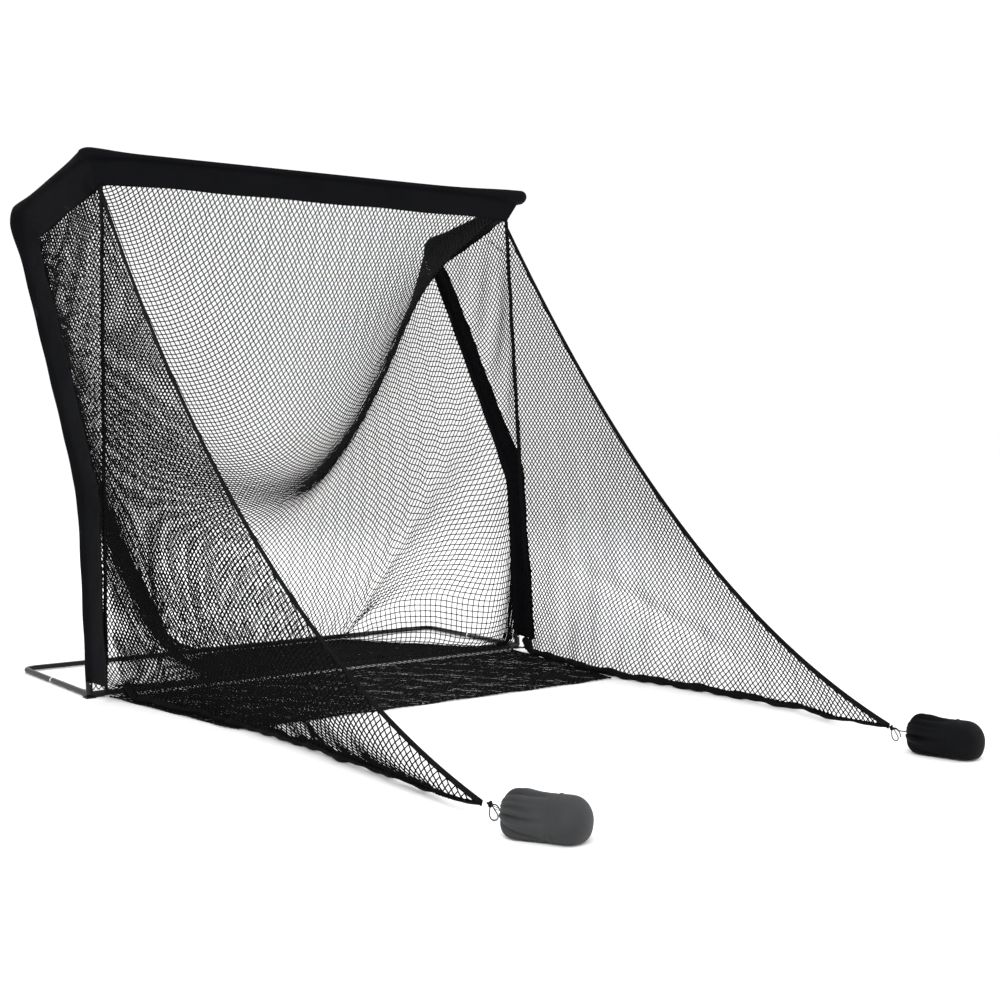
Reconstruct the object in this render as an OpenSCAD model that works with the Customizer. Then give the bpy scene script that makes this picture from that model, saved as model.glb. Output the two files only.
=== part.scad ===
// Golf chipping net: a bent-tube cage with fabric edge covers, a draped ball net,
// two swinging side barriers and a sandbag tied to the tip of each barrier.
// +X to the right of a player facing the net, +Y to the back, +Z up. Units: mm.

/* [Frame] */
// Width between the centre lines of the two side frames
frame_w = 2440; // [2000:10:3000]
// Height of the crossbar's centre line
bar_z = 2445; // [2300:5:2600]
// Depth of the base, from the feet to the rear bar
base_depth = 862; // [700:2:1000]
// Outer diameter of the frame tube
tube_d = 25; // [24:0.5:26]
// Wall thickness of the frame tube
tube_wall = 1.5; // [1.2:0.1:1.8]
// How far the knee of an upright stands behind the feet
knee_y = 70; // [40:1:100]
// Height of the knee
knee_z = 930; // [850:5:1000]
// How far the elbow stands behind the feet
elbow_y = 893; // [850:1:930]
// Height of the elbow
elbow_z = 2268; // [2200:1:2320]
// How far the crossbar stands in front of the feet
bar_forward = 54; // [30:1:80]

/* [Covers] */
// Width of the fabric edge cover, from the tube's outside to the laced edge
cover_w = 145; // [120:1:160]
// Thickness of a cover's double layer of fabric
cover_t = 4; // [3:0.5:5]

/* [Net] */
// Thickness of the plain solid that a net panel fills
net_t = 3; // [2:0.5:4]
// How far the floor apron reaches in front of the feet
apron_reach = 1040; // [900:5:1100]
// Half the width of the apron's front edge
apron_half = 1005; // [950:5:1050]
// Length of a side barrier on the floor, from its hinge line to its tip
barrier_l = 2565; // [2400:5:2700]
// Height of a barrier at its hinge line
barrier_h = 2130; // [2000:5:2200]
// How far the barrier's front edge hangs below a straight line
barrier_sag = 350; // [200:5:400]

/* [Sandbags] */
// Length of a filled bag, from its neck to its end
bag_l = 300; // [260:5:320]
// Diameter of a filled bag
bag_d = 156; // [140:1:170]
// Height of a bag's axis over the ground
bag_z = 70; // [66:1:72]

/* [Snap buttons] */
// Diameter of a snap button
button_d = 7.6; // [7:0.1:8]
// How far a button stands out of the tube
button_out = 3.5; // [3:0.1:4]

/* [Hidden] */
$fn = 48;

// Where the feet stand in the model's own frame, whose origin is the middle
// of the ground that the whole set covers
feet_y = 1161.4;
half_w = frame_w / 2;
bore_d = tube_d - 2 * tube_wall;
// Centre height of the base tubes: the foot connectors' sockets reach the ground
socket_d = 30;
socket_bore = tube_d + 0.2;
base_z = socket_d / 2;
socket_l = 70;
socket_stop = 18;
post_h = 68;
post_stop = 18;
sole = 46;
sole_t = 6;
knee_r = 200;
elbow_r = 70;
// Gap between the elbow's bend and the straight runs beside it
hairline = 0.02;
corner_r = 60;
// Where the tube sections meet
front_joint_left = -706;
front_joint_right = 484;
rear_joint = 610;
rail_joint = 466;
collar_l = 18;
upright_joint = 350;
arm_joint = 350;
bar_joint = 800;
spigot_l = 120;
spigot_wall = 1.4;
spigot_gap = 0.1;
button_step = 30;
foot_button = 50;
button_clear = 0.3;
leaf_w = 9;
leaf_t = 0.8;
leaf_l = 34;
leaf_r = 6;
// Hinge line of a barrier, measured from the middle and from the feet
hinge_x = 1195;
hinge_y = -168;
hinge_gap = 14;
tip_x = 1000;
tip_z = 62;
hem_w = 20;
hem_t = 7;
// The cords in the lower hems, and the height where the barrier net starts
floor_hem_d = 12;
floor_hem_z = 18;
net_foot_z = 26;
apron_hem_d = 7;
apron_hem_z = 3.6;
hem_r = 40;
floor_t = 2;
seam_w = 18;
seam_t = 6;
// Ends of the taut webbing that joins the side net and the barrier
seam_top = [1160, -58, 2300];
seam_foot = [1196, -146, 40];
curve_steps = 14;
// Bag necks, from the middle and the feet, and how far each bag is turned
left_neck = [-1040, -2900];
left_turn = 27;
right_neck = [905, -2905];
right_turn = 13;
bag_skin = 2;
neck_r = 14;
knot = [985, -2757, 52];
knot_d = 16;
tie_d = 5;
tie_end = 3;
// Fabric covers: the pocket round the tube and the flap beside it
sleeve_d = tube_d + 4;
sleeve_bore = tube_d + 0.4;
flap_w = cover_w - sleeve_d / 2;
cover_foot = 74;
cover_gap = 1;

function unit(v) = v / norm(v);
function mirrored(p, s) = [s * p[0], p[1], p[2]];
// Length that a bend of radius r takes from each side of a corner of angle a
function cut(a, r) = r * tan(abs(a) / 2);
// Angle from the direction u to w, positive to the left
function turn(u, w) = atan2(u[0] * w[1] - u[1] * w[0], u * w);

// The side frame's outline in its own plane, as y and z
foot = [0, base_z];
knee = [knee_y, knee_z];
elbow = [elbow_y, elbow_z];
top = [-bar_forward, bar_z];
post_dir = unit(knee - foot);
upright_dir = unit(elbow - knee);
arm_dir = unit(top - elbow);
knee_turn = turn(post_dir, upright_dir);
elbow_turn = turn(upright_dir, arm_dir);
// The tube sections' lengths between bends
post_l = norm(knee - foot) - cut(knee_turn, knee_r);
upright_split = knee + upright_dir * upright_joint;
arm_split = elbow + arm_dir * arm_joint;
elbow_end = elbow + arm_dir * cut(elbow_turn, elbow_r);
corner_start = top - arm_dir * corner_r;

// A point on a post's centre line at the distance d from its foot
function post_at(d) = [0, foot[0] + post_dir[0] * d, foot[1] + post_dir[1] * d];
// Where a foot button's axis crosses the post
function foot_button_at(s) = [s * half_w, 0, 0] + post_at(foot_button);
// A point of a side frame, in the model
function out(s, p) = [s * half_w, p[0], p[1]];
function inward(u) = [-u[1], u[0]];

// ---- building blocks -------------------------------------------------------

// Puts the feet line where it stands in the model's frame
module at_feet() {
    translate([0, feet_y, 0])
        children();
}

// Straight rod from a to b
module rod(a, b, d) {
    v = b - a;
    translate(a)
        rotate([0, acos(v[2] / norm(v)), atan2(v[1], v[0])])
            cylinder(h = norm(v), d = d);
}

// Cross-section of a tube with the bore b, or of a rod where b is 0
module ring(d, b) {
    difference() {
        circle(d = d);
        if (b > 0)
            circle(d = b);
    }
}

// Tube that runs along +y from the origin and turns in the xy plane: straight
// runs of the lengths l, with round bends of the angles a (left is positive)
// and radii r between them. It is built run by run, so that each one starts
// exactly where the one before it ends, or a hairline gap after it.
module pipe(l, a, r, d, b = 0, gap = 0, i = 0) {
    translate([0, i > 0 ? gap : 0, 0])
        rotate([-90, 0, 0])
            linear_extrude(l[i] - (i > 0 ? gap : 0) - (i < len(l) - 1 ? gap : 0))
                ring(d, b);
    if (i < len(l) - 1) {
        side = a[i] < 0 ? -1 : 1;
        translate([-side * r[i], l[i], 0]) {
            rotate([0, 0, side > 0 ? 0 : 180 + a[i]])
                rotate_extrude(angle = abs(a[i]))
                    translate([r[i], 0])
                        ring(d, b);
            rotate([0, 0, a[i]])
                translate([side * r[i], 0, 0])
                    pipe(l, a, r, d, b, gap, i + 1);
        }
    }
}

// Turns the xy plane into a side frame's own plane, where the local +y leaves
// the point p in the direction u, given as y and z
module in_side(s, p, u) {
    translate([s * half_w, p[0], p[1]])
        rotate([90, 0, 90])
            rotate([0, 0, atan2(u[1], u[0]) - 90])
                children();
}

// Straight hollow tube from a to b
module tube(a, b) {
    difference() {
        rod(a, b, tube_d);
        rod(a - unit(b - a), b + unit(b - a), bore_d);
    }
}

// Cuts a button hole in the tube wall at p, towards the front
module front_hole(p, reach = 22) {
    translate(p)
        rotate([90, 0, 0])
            cylinder(h = reach, d = button_d + 2 * button_clear);
}

// ---- base ------------------------------------------------------------------

module foot_connector(s) {
    color("#1b1b1d")
        at_feet()
            mirror([s > 0 ? 1 : 0, 0, 0])
                difference() {
                    translate([-half_w, 0, 0])
                        difference() {
                            union() {
                                rod([0, 0, base_z], [socket_l, 0, base_z], socket_d);
                                rod([0, 0, base_z], [0, socket_l, base_z], socket_d);
                                rod([0, 0, base_z], post_at(post_h), socket_d + 0.4);
                                translate([-sole / 2, -sole / 2, 0])
                                    cube([sole, sole, sole_t]);
                            }
                            rod([socket_stop, 0, base_z], [200, 0, base_z], socket_bore);
                            rod([0, socket_stop, base_z], [0, 200, base_z], socket_bore);
                            rod(post_at(post_stop), post_at(200), socket_bore);
                        }
                    front_hole(foot_button_at(-1));
                }
}

module front_bar_left() {
    color("#1b1b1d")
        at_feet()
            difference() {
                tube([-half_w + socket_stop, 0, base_z], [front_joint_left, 0, base_z]);
                front_hole([front_joint_left - button_step, 0, base_z]);
            }
}

module front_bar_middle() {
    color("#1b1b1d")
        at_feet()
            tube([front_joint_left, 0, base_z], [front_joint_right, 0, base_z]);
}

module front_bar_right() {
    color("#1b1b1d")
        at_feet()
            difference() {
                tube([front_joint_right, 0, base_z], [half_w - socket_stop, 0, base_z]);
                front_hole([front_joint_right + button_step, 0, base_z]);
            }
}

module side_rail(s) {
    color("#1b1b1d")
        at_feet()
            tube([s * half_w, socket_stop, base_z],
                 [s * half_w, rail_joint - collar_l / 2, base_z]);
}

// Bent tube from the rail's collar round the rear corner to the rear bar
module rear_corner(s) {
    start = rail_joint + collar_l / 2;
    color("#1b1b1d")
        at_feet()
            difference() {
                translate([s * half_w, start, base_z])
                    pipe([base_depth - start - corner_r, half_w - rear_joint - corner_r],
                         [s * 90], [corner_r], tube_d, bore_d);
                front_hole([s * (rear_joint + button_step), base_depth, base_z]);
            }
}

module rear_bar_middle() {
    color("#1b1b1d")
        at_feet()
            tube([-rear_joint, base_depth, base_z], [rear_joint, base_depth, base_z]);
}

// Bare steel rings between a side rail and its rear corner tube
module rail_collars() {
    color("silver")
        at_feet()
            for (s = [-1, 1])
                difference() {
                    rod([s * half_w, rail_joint - collar_l / 2, base_z],
                        [s * half_w, rail_joint + collar_l / 2, base_z], tube_d - 0.6);
                    rod([s * half_w, rail_joint - collar_l, base_z],
                        [s * half_w, rail_joint + collar_l, base_z], bore_d);
                }
}

// One spigot that fills a joint, centred at p along the direction v
module spigot(p, v) {
    a = p - unit(v) * spigot_l / 2;
    b = p + unit(v) * spigot_l / 2;
    difference() {
        rod(a, b, bore_d - 2 * spigot_gap);
        rod(a - unit(v), b + unit(v), bore_d - 2 * spigot_gap - 2 * spigot_wall);
    }
}

module tube_spigots() {
    color("silver")
        at_feet() {
            difference() {
                union() {
                    spigot([front_joint_left, 0, base_z], [1, 0, 0]);
                    spigot([front_joint_right, 0, base_z], [1, 0, 0]);
                    for (s = [-1, 1])
                        spigot([s * rear_joint, base_depth, base_z], [1, 0, 0]);
                }
                front_hole([front_joint_left - button_step, 0, base_z]);
                front_hole([front_joint_right + button_step, 0, base_z]);
                for (s = [-1, 1])
                    front_hole([s * (rear_joint + button_step), base_depth, base_z]);
            }
            for (s = [-1, 1]) {
                spigot([s * half_w, rail_joint, base_z], [0, 1, 0]);
                spigot(out(s, upright_split), out(0, upright_dir));
                spigot(out(s, arm_split), out(0, arm_dir));
                spigot([s * bar_joint, -bar_forward, bar_z], [1, 0, 0]);
            }
        }
}

// ---- uprights and crossbar -------------------------------------------------

module lower_upright(s) {
    color("#1b1b1d")
        at_feet()
            difference() {
                in_side(s, foot + post_dir * post_stop, post_dir)
                    pipe([post_l - post_stop, upright_joint - cut(knee_turn, knee_r)],
                         [knee_turn], [knee_r], tube_d, bore_d);
                front_hole(foot_button_at(s));
            }
}

module upper_upright(s) {
    color("#1b1b1d")
        at_feet()
            in_side(s, upright_split, upright_dir)
                pipe([norm(elbow - upright_split) - cut(elbow_turn, elbow_r),
                      arm_joint - cut(elbow_turn, elbow_r)],
                     [elbow_turn], [elbow_r], tube_d, bore_d, hairline);
}

// Turns the xy plane so that +y runs up the arm from p and +x points outwards
module on_arm(s, p) {
    translate([s * half_w, p[0], p[1]])
        rotate([atan2(arm_dir[1], arm_dir[0]), 0, 0])
            children();
}

module top_corner(s) {
    color("#1b1b1d")
        at_feet()
            on_arm(s, arm_split)
                pipe([norm(top - arm_split) - corner_r, half_w - bar_joint - corner_r],
                     [s * 90], [corner_r], tube_d, bore_d);
}

module crossbar_middle() {
    color("#1b1b1d")
        at_feet()
            tube([-bar_joint, -bar_forward, bar_z], [bar_joint, -bar_forward, bar_z]);
}

// ---- snap buttons ----------------------------------------------------------

// A domed button on its leaf. The tip points to the front from a tube at p,
// and r is the radius of the outside that it stands out of
module snap_button(p, r) {
    tip = r + button_out;
    dome = 1.6;
    color("silver")
        at_feet()
            translate(p)
                rotate([90, 0, 0]) {
                    translate([0, 0, leaf_r])
                        cylinder(h = tip - dome - leaf_r, d = button_d);
                    translate([0, 0, tip - dome])
                        cylinder(h = dome, d1 = button_d, d2 = button_d - 2 * dome);
                }
}

// Leaf of a button spring: along x in a level tube, along z in a post
module leaf(p, level, r) {
    size = level ? [leaf_l, leaf_t, leaf_w] : [leaf_w, leaf_t, leaf_l];
    translate(p - [0, r, 0] - size / 2)
        cube(size);
}

module front_button(s) {
    x = s < 0 ? front_joint_left - button_step : front_joint_right + button_step;
    p = [x, 0, base_z];
    snap_button(p, tube_d / 2);
    color("silver")
        at_feet()
            leaf(p, true, leaf_r);
}

module rear_button(s) {
    p = [s * (rear_joint + button_step), base_depth, base_z];
    snap_button(p, tube_d / 2);
    color("silver")
        at_feet()
            leaf(p, true, leaf_r);
}

module foot_button(s) {
    p = foot_button_at(s);
    snap_button(p, socket_d / 2);
    color("silver")
        at_feet()
            leaf(p, false, leaf_r);
}

// The fixed leaves, against the tube wall behind each button
module button_springs() {
    back = -7.4;
    color("silver")
        at_feet()
            for (s = [-1, 1]) {
                x = s < 0 ? front_joint_left - button_step : front_joint_right + button_step;
                leaf([x, 0, base_z], true, back);
                leaf([s * (rear_joint + button_step), base_depth, base_z], true, back);
                leaf(foot_button_at(s), false, back);
            }
}

// ---- fabric covers ---------------------------------------------------------

// How far from the tube's centre line the flap starts, just outside its pocket
flap_in = sleeve_d / 2 + 0.2;
bend_steps = 16;

// Corner of a band of width d on the inner side of the corner p
function mitre(p, u, w, d) =
    p + (inward(u) + inward(w)) * d / (1 + inward(u) * inward(w));
// Points at the distance d inwards of the round bend at the corner p
function arc_2d(p, u, w, r, d) =
    let (a = turn(u, w),
         side = a < 0 ? -1 : 1,
         start = p - u * cut(a, r),
         c = start + inward(u) * r * side)
    [for (i = [0 : bend_steps]) let (b = abs(a) * i / bend_steps)
        c - (inward(u) * side * cos(b) - u * sin(b)) * (r - d * side)];

// Plate in a side frame's plane
module side_plate(s, t) {
    translate([s * half_w - t / 2, 0, 0])
        rotate([90, 0, 90])
            linear_extrude(t)
                children();
}

module upright_cover(s) {
    hem = foot + post_dir * cover_foot;
    color("#222327")
        at_feet() {
            in_side(s, hem, post_dir)
                pipe([post_l - cover_foot, upright_joint - cut(knee_turn, knee_r)],
                     [knee_turn], [knee_r], sleeve_d, sleeve_bore);
            in_side(s, upright_split, upright_dir)
                pipe([norm(elbow - upright_split) - cut(elbow_turn, elbow_r), 1],
                     [elbow_turn], [elbow_r], sleeve_d, sleeve_bore, hairline);
            side_plate(s, cover_t)
                polygon(concat([hem + inward(post_dir) * flap_in],
                    arc_2d(knee, post_dir, upright_dir, knee_r, flap_in),
                    arc_2d(elbow, upright_dir, arm_dir, elbow_r, flap_in),
                    [mitre(elbow, upright_dir, arm_dir, flap_w),
                     mitre(knee, post_dir, upright_dir, flap_w),
                     hem + inward(post_dir) * flap_w]));
        }
}

module arm_cover(s) {
    a = elbow_end + arm_dir * 2;
    b = corner_start - arm_dir;
    color("#222327")
        at_feet() {
            difference() {
                rod(out(s, a), out(s, b), sleeve_d);
                rod(out(s, elbow), out(s, top), sleeve_bore);
            }
            side_plate(s, cover_t)
                polygon([a + inward(arm_dir) * flap_in, b + inward(arm_dir) * flap_in,
                    [cover_t - bar_forward, bar_z - corner_r],
                    [cover_t - bar_forward, bar_z - flap_w],
                    mitre(elbow, upright_dir, arm_dir, flap_w) + arm_dir * 2]);
        }
}

module crossbar_cover() {
    edge = half_w - cover_t;
    color("#222327")
        at_feet() {
            on_arm(-1, corner_start - arm_dir)
                pipe([1, frame_w - 2 * corner_r, 1], [-90, -90], [corner_r, corner_r],
                     sleeve_d, sleeve_bore);
            translate([0, cover_t / 2 - bar_forward, 0])
                rotate([90, 0, 0])
                    linear_extrude(cover_t)
                        polygon([[-edge + corner_r, bar_z - flap_in],
                            [edge - corner_r, bar_z - flap_in],
                            [edge, bar_z - corner_r], [edge, bar_z - flap_w],
                            [-edge, bar_z - flap_w], [-edge, bar_z - corner_r]]);
        }
}

// ---- net panels ------------------------------------------------------------

back_half = 1120;
back_top = [-50, 2310];
back_foot = [842, 38];
back_belly = 70;

// The back net's curve from the crossbar cover down to the rear bar
function back_line(t) =
    back_top + (back_foot - back_top) * t - [back_belly * sin(180 * t), 0];

module back_net() {
    curve = [for (i = [0 : curve_steps]) back_line(i / curve_steps)];
    color("#151517")
        at_feet()
            translate([-back_half, 0, 0])
                rotate([90, 0, 90])
                    linear_extrude(2 * back_half)
                        polygon(concat(curve,
                            [for (i = [curve_steps : -1 : 0]) curve[i] + [net_t, 0]]));
}

// Triangle between the arm, the upright and the seam webbing
module side_net(s) {
    d = flap_w + cover_gap;
    color("#151517")
        at_feet()
            side_plate(s, net_t)
                polygon([top + inward(arm_dir) * d, mitre(elbow, upright_dir, arm_dir, d),
                    mitre(knee, post_dir, upright_dir, d)]);
}

floor_back = base_depth - 20;
floor_half = 1185;
neck_half = 1140;
apron_start = 80;

// Net on the ground, from the rear bar under the front bar to the apron's edge
module floor_net() {
    inset = apron_hem_d;
    outline = [[apron_half - hem_r, inset - apron_reach],
        [apron_half - inset, hem_r - apron_reach],
        [neck_half, -apron_start], [neck_half, apron_start],
        [floor_half, apron_start + 10], [floor_half, floor_back]];
    color("#151517")
        at_feet()
            linear_extrude(floor_t)
                polygon(concat(outline,
                    [for (i = [5 : -1 : 0]) [-outline[i][0], outline[i][1]]]));
}

// Cord in the hem round the apron
module apron_hem() {
    start = [neck_half + 8, -apron_start];
    corner = [apron_half, -apron_reach];
    side = corner - start;
    a = turn(side, [-1, 0]);
    color("#101012")
        at_feet()
            translate([start[0], start[1], apron_hem_z])
                rotate([0, 0, atan2(side[1], side[0]) - 90])
                    pipe([norm(side) - cut(a, hem_r), 2 * apron_half - 2 * cut(a, hem_r),
                          norm(side) - cut(a, hem_r)], [a, a], [hem_r, hem_r], apron_hem_d);
}

// Flat strap from a to b
module strap(a, b, w, t) {
    v = b - a;
    translate(a)
        rotate([0, acos(v[2] / norm(v)), atan2(v[1], v[0])])
            translate([-t / 2, -w / 2, 0])
                cube([t, w, norm(v)]);
}

module seam_webbing(s) {
    color("#1a1a1c")
        at_feet()
            strap(mirrored(seam_top, s), mirrored(seam_foot, s), seam_w, seam_t);
}

// Elastic cord from each arm's cover to the top of the seam
module top_ties() {
    color("#101012")
        at_feet()
            for (s = [-1, 1])
                rod([s * 1205, 236, 2236], [s * 1164, -46, 2120], tie_d);
}

// ---- side barriers ---------------------------------------------------------

tip = [tip_x, hinge_y - barrier_l];
plan = tip - [hinge_x, hinge_y];
plan_l = norm(plan);

// Height of the barrier's front edge at the share t of its length
function edge_z(t) = barrier_h + (tip_z - barrier_h) * t - 4 * barrier_sag * t * (1 - t);
// Point of the front edge, moved square to it by d
function edge_at(t, d) =
    let (a = [hinge_gap + (plan_l - hinge_gap) * t, edge_z(t)],
         slope = (tip_z - barrier_h - 4 * barrier_sag * (1 - 2 * t)) / (plan_l - hinge_gap),
         u = unit([1, slope]))
    a + [u[1], -u[0]] * d;
function edge(d) = [for (i = [0 : curve_steps]) edge_at(i / curve_steps, d)];
function reversed(list) = [for (i = [len(list) - 1 : -1 : 0]) list[i]];

// Upright plate in a barrier's plane, from its hinge line to its tip
module barrier_plate(s, t) {
    at_feet()
        translate([s * hinge_x, hinge_y, 0])
            rotate([0, 0, atan2(plan[1], s * plan[0])])
                rotate([90, 0, 0])
                    translate([0, 0, -t / 2])
                        linear_extrude(t)
                            children();
}

module barrier_net(s) {
    line = [for (p = edge(hem_w + 0.5)) if (p[0] > hinge_gap) p];
    color("#151517")
        barrier_plate(s, net_t)
            polygon(concat([[hinge_gap, net_foot_z], [hinge_gap, line[0][1]]], line,
                [[plan_l - 6, net_foot_z]]));
}

module barrier_hem(s) {
    color("#1a1a1c")
        barrier_plate(s, hem_t)
            polygon(concat(edge(0), reversed(edge(hem_w))));
}

module floor_hem(s) {
    u = unit([s * plan[0], plan[1], 0]);
    start = [s * hinge_x, hinge_y, floor_hem_z];
    color("#101012")
        at_feet()
            rod(start + u * hinge_gap, start + u * (plan_l - 10), floor_hem_d);
}

// Knot beyond the barrier's tip, with the cord that comes out of the hem
module tip_knot(s) {
    end = [s * tip[0], tip[1], tip_z - hem_w / 2];
    start = end + unit(mirrored(knot, s) - end) * 3;
    color("#101012")
        at_feet() {
            rod(start, mirrored(knot, s), tie_d);
            translate(mirrored(knot, s))
                sphere(d = knot_d);
        }
}

// ---- sandbags --------------------------------------------------------------

// Radius of a filled bag of radius r at the share t of its length
function bag_r(t, r) =
    t < 0.4 ? neck_r + (r - neck_r) * sqrt(1 - pow(1 - t / 0.4, 2))
    : t > 0.82 ? r * pow(1 - pow((t - 0.82) / 0.18, 2.5), 0.4) : r;

// Filled bag along +z, with its whole surface moved in by the depth d
module bag_body(d) {
    steps = 20;
    r = bag_d / 2 - d;
    rotate_extrude()
        polygon(concat([[0, d]],
            [for (i = [0 : steps - 1]) let (t = i / steps)
                [max(bag_r(t, r) - (t < 0.1 ? d : 0), 1), d + (bag_l - 2 * d) * t]],
            [[0, bag_l - d]]));
}

// Lays a bag on the ground from its neck, turned from -Y towards +X
module laid(neck, turn) {
    translate([neck[0], neck[1], bag_z])
        rotate([90, 0, turn])
            children();
}

// The half space above the height z round a bag
module above(neck, z) {
    translate([neck[0] - 500, neck[1] - 500, z])
        cube([1000, 1000, 400]);
}

module sandbag(neck, turn) {
    color("#303134")
        at_feet()
            difference() {
                intersection() {
                    laid(neck, turn)
                        bag_body(0);
                    above(neck, 0);
                }
                intersection() {
                    laid(neck, turn)
                        bag_body(bag_skin);
                    above(neck, bag_skin);
                }
            }
}

module sand_fill(neck, turn) {
    gap = bag_skin + 0.3;
    color("tan")
        at_feet()
            intersection() {
                laid(neck, turn)
                    bag_body(gap);
                above(neck, gap);
            }
}

// Cord from the knot to a bag's neck
module bag_tie(s, neck) {
    a = mirrored(knot, s);
    b = [neck[0], neck[1], bag_z];
    color("#101012")
        at_feet()
            rod(a + unit(b - a) * (knot_d / 2 + 1), b - unit(b - a) * tie_end, tie_d);
}

foot_connector(-1);  // foot_connector_left
foot_connector(1);  // foot_connector_right
front_bar_left();
front_bar_middle();
front_bar_right();
side_rail(-1);  // side_rail_left
side_rail(1);  // side_rail_right
rear_corner(-1);  // rear_corner_left
rear_corner(1);  // rear_corner_right
rear_bar_middle();
rail_collars();
tube_spigots();
lower_upright(-1);  // lower_upright_left
lower_upright(1);  // lower_upright_right
upper_upright(-1);  // upper_upright_left
upper_upright(1);  // upper_upright_right
top_corner(-1);  // top_corner_left
top_corner(1);  // top_corner_right
crossbar_middle();
front_button(-1);  // front_button_left
front_button(1);  // front_button_right
rear_button(-1);  // rear_button_left
rear_button(1);  // rear_button_right
foot_button(-1);  // foot_button_left
foot_button(1);  // foot_button_right
button_springs();
upright_cover(-1);  // upright_cover_left
upright_cover(1);  // upright_cover_right
arm_cover(-1);  // arm_cover_left
arm_cover(1);  // arm_cover_right
crossbar_cover();
back_net();
side_net(-1);  // side_net_left
side_net(1);  // side_net_right
floor_net();
apron_hem();
seam_webbing(-1);  // seam_webbing_left
seam_webbing(1);  // seam_webbing_right
barrier_net(-1);  // barrier_net_left
barrier_net(1);  // barrier_net_right
barrier_hem(-1);  // barrier_hem_left
barrier_hem(1);  // barrier_hem_right
floor_hem(-1);  // floor_hem_left
floor_hem(1);  // floor_hem_right
tip_knot(-1);  // tip_knot_left
tip_knot(1);  // tip_knot_right
bag_tie(-1, left_neck);  // bag_tie_left
bag_tie(1, right_neck);  // bag_tie_right
sandbag(left_neck, left_turn);  // sandbag_left
sandbag(right_neck, right_turn);  // sandbag_right
sand_fill(left_neck, left_turn);  // sand_fill_left
sand_fill(right_neck, right_turn);  // sand_fill_right
top_ties();
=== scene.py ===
"""Looks of a golf chipping net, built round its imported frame.

Lengths are in metres. Each dimension is given from the line through the two
front feet, with X to the right, Y to the back and Z up; Layout.row() moves it
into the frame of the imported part.
"""

import logging
import math
from dataclasses import dataclass
from enum import Enum
from typing import Callable

import bpy
import numpy as np
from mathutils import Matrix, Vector


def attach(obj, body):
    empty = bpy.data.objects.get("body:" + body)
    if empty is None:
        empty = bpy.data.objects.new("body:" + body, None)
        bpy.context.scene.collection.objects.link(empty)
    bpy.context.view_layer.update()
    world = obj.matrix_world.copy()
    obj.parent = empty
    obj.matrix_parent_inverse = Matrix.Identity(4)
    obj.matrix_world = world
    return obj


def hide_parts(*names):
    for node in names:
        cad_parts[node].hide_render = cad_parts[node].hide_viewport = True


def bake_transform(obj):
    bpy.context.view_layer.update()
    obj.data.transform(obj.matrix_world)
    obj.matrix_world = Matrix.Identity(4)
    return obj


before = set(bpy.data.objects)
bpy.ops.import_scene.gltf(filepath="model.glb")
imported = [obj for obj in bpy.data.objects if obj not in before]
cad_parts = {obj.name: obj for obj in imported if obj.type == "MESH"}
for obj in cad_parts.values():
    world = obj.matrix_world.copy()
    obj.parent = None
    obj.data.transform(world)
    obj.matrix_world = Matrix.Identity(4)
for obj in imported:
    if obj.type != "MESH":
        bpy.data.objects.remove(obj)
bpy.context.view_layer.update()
LOG = logging.getLogger("chipping_net")
Place = Callable[[np.ndarray, np.ndarray], np.ndarray]


class Side(Enum):
    """The two hands of the net, with the sign of their X."""

    LEFT = -1
    RIGHT = 1

    @property
    def word(self) -> str:
        """The side's word in the names of pieces."""
        return self.name.lower()


@dataclass(frozen=True)
class Layout:
    """Main dimensions of the frame that the nets and covers hang on."""

    feet_line: float = 1.1614
    half_width: float = 1.22
    bar: tuple = (-0.054, 2.445)
    elbow: tuple = (0.893, 2.268)
    knee: tuple = (0.070, 0.930)
    rear_bar: tuple = (0.862, 0.030)
    hinge: tuple = (1.195, -0.168)
    tip: tuple = (1.0, -2.733)
    knot: tuple = (0.985, -2.757, 0.052)

    def row(self, points: np.ndarray) -> np.ndarray:
        """Points moved from the feet line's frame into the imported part's frame.

        Args:
            points: An array whose last axis is X, Y, Z.

        Returns:
            The moved copy.
        """
        moved = np.array(points, float)
        moved[..., 1] += self.feet_line
        return moved


LAYOUT = Layout()


# ---- small geometry tools ---------------------------------------------------

def unit(vectors: np.ndarray) -> np.ndarray:
    """The vectors scaled to length 1."""
    return vectors / (np.linalg.norm(vectors, axis=-1, keepdims=True) + 1e-12)


def ease(t: np.ndarray, low: float, high: float) -> np.ndarray:
    """A smooth step from 0 at low to 1 at high."""
    s = np.clip((t - low) / (high - low), 0, 1)
    return s * s * (3 - 2 * s)


def along(points: np.ndarray, count: int) -> np.ndarray:
    """A polyline with evenly spaced points.

    Args:
        points: The polyline's corners.
        count: How many points to return.

    Returns:
        The new points, count by 3.
    """
    points = np.asarray(points, float)
    run = run_along(points)
    s = np.linspace(0, run[-1], count)
    return np.stack([np.interp(s, run, points[:, k]) for k in range(3)], 1)


def curve_point(near: tuple, t: np.ndarray) -> np.ndarray:
    """Points of a rounded curve between the two middle ones of four points.

    Args:
        near: The point before, the two ends and the point after.
        t: Share of the way between the two ends.

    Returns:
        The points.
    """
    a, b, c, d = near
    return 0.5 * (2 * b + (c - a) * t + (2 * a - 5 * b + 4 * c - d) * t ** 2
                  + (3 * b - a - 3 * c + d) * t ** 3)


def smooth_line(points: np.ndarray, count: int) -> np.ndarray:
    """A rounded curve through the given points.

    Args:
        points: Points that the curve passes through.
        count: How many points to return, evenly spaced.

    Returns:
        The curve's points, count by 3.
    """
    p = np.asarray(points, float)
    padded = np.vstack([2 * p[0] - p[1], p, 2 * p[-1] - p[-2]])
    stretch = 16
    out = [curve_point(padded[k:k + 4], t) for k in range(len(p) - 1)
           for t in np.linspace(0, 1, stretch, endpoint=False)]
    out.append(p[-1])
    return along(np.array(out), count)


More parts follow.
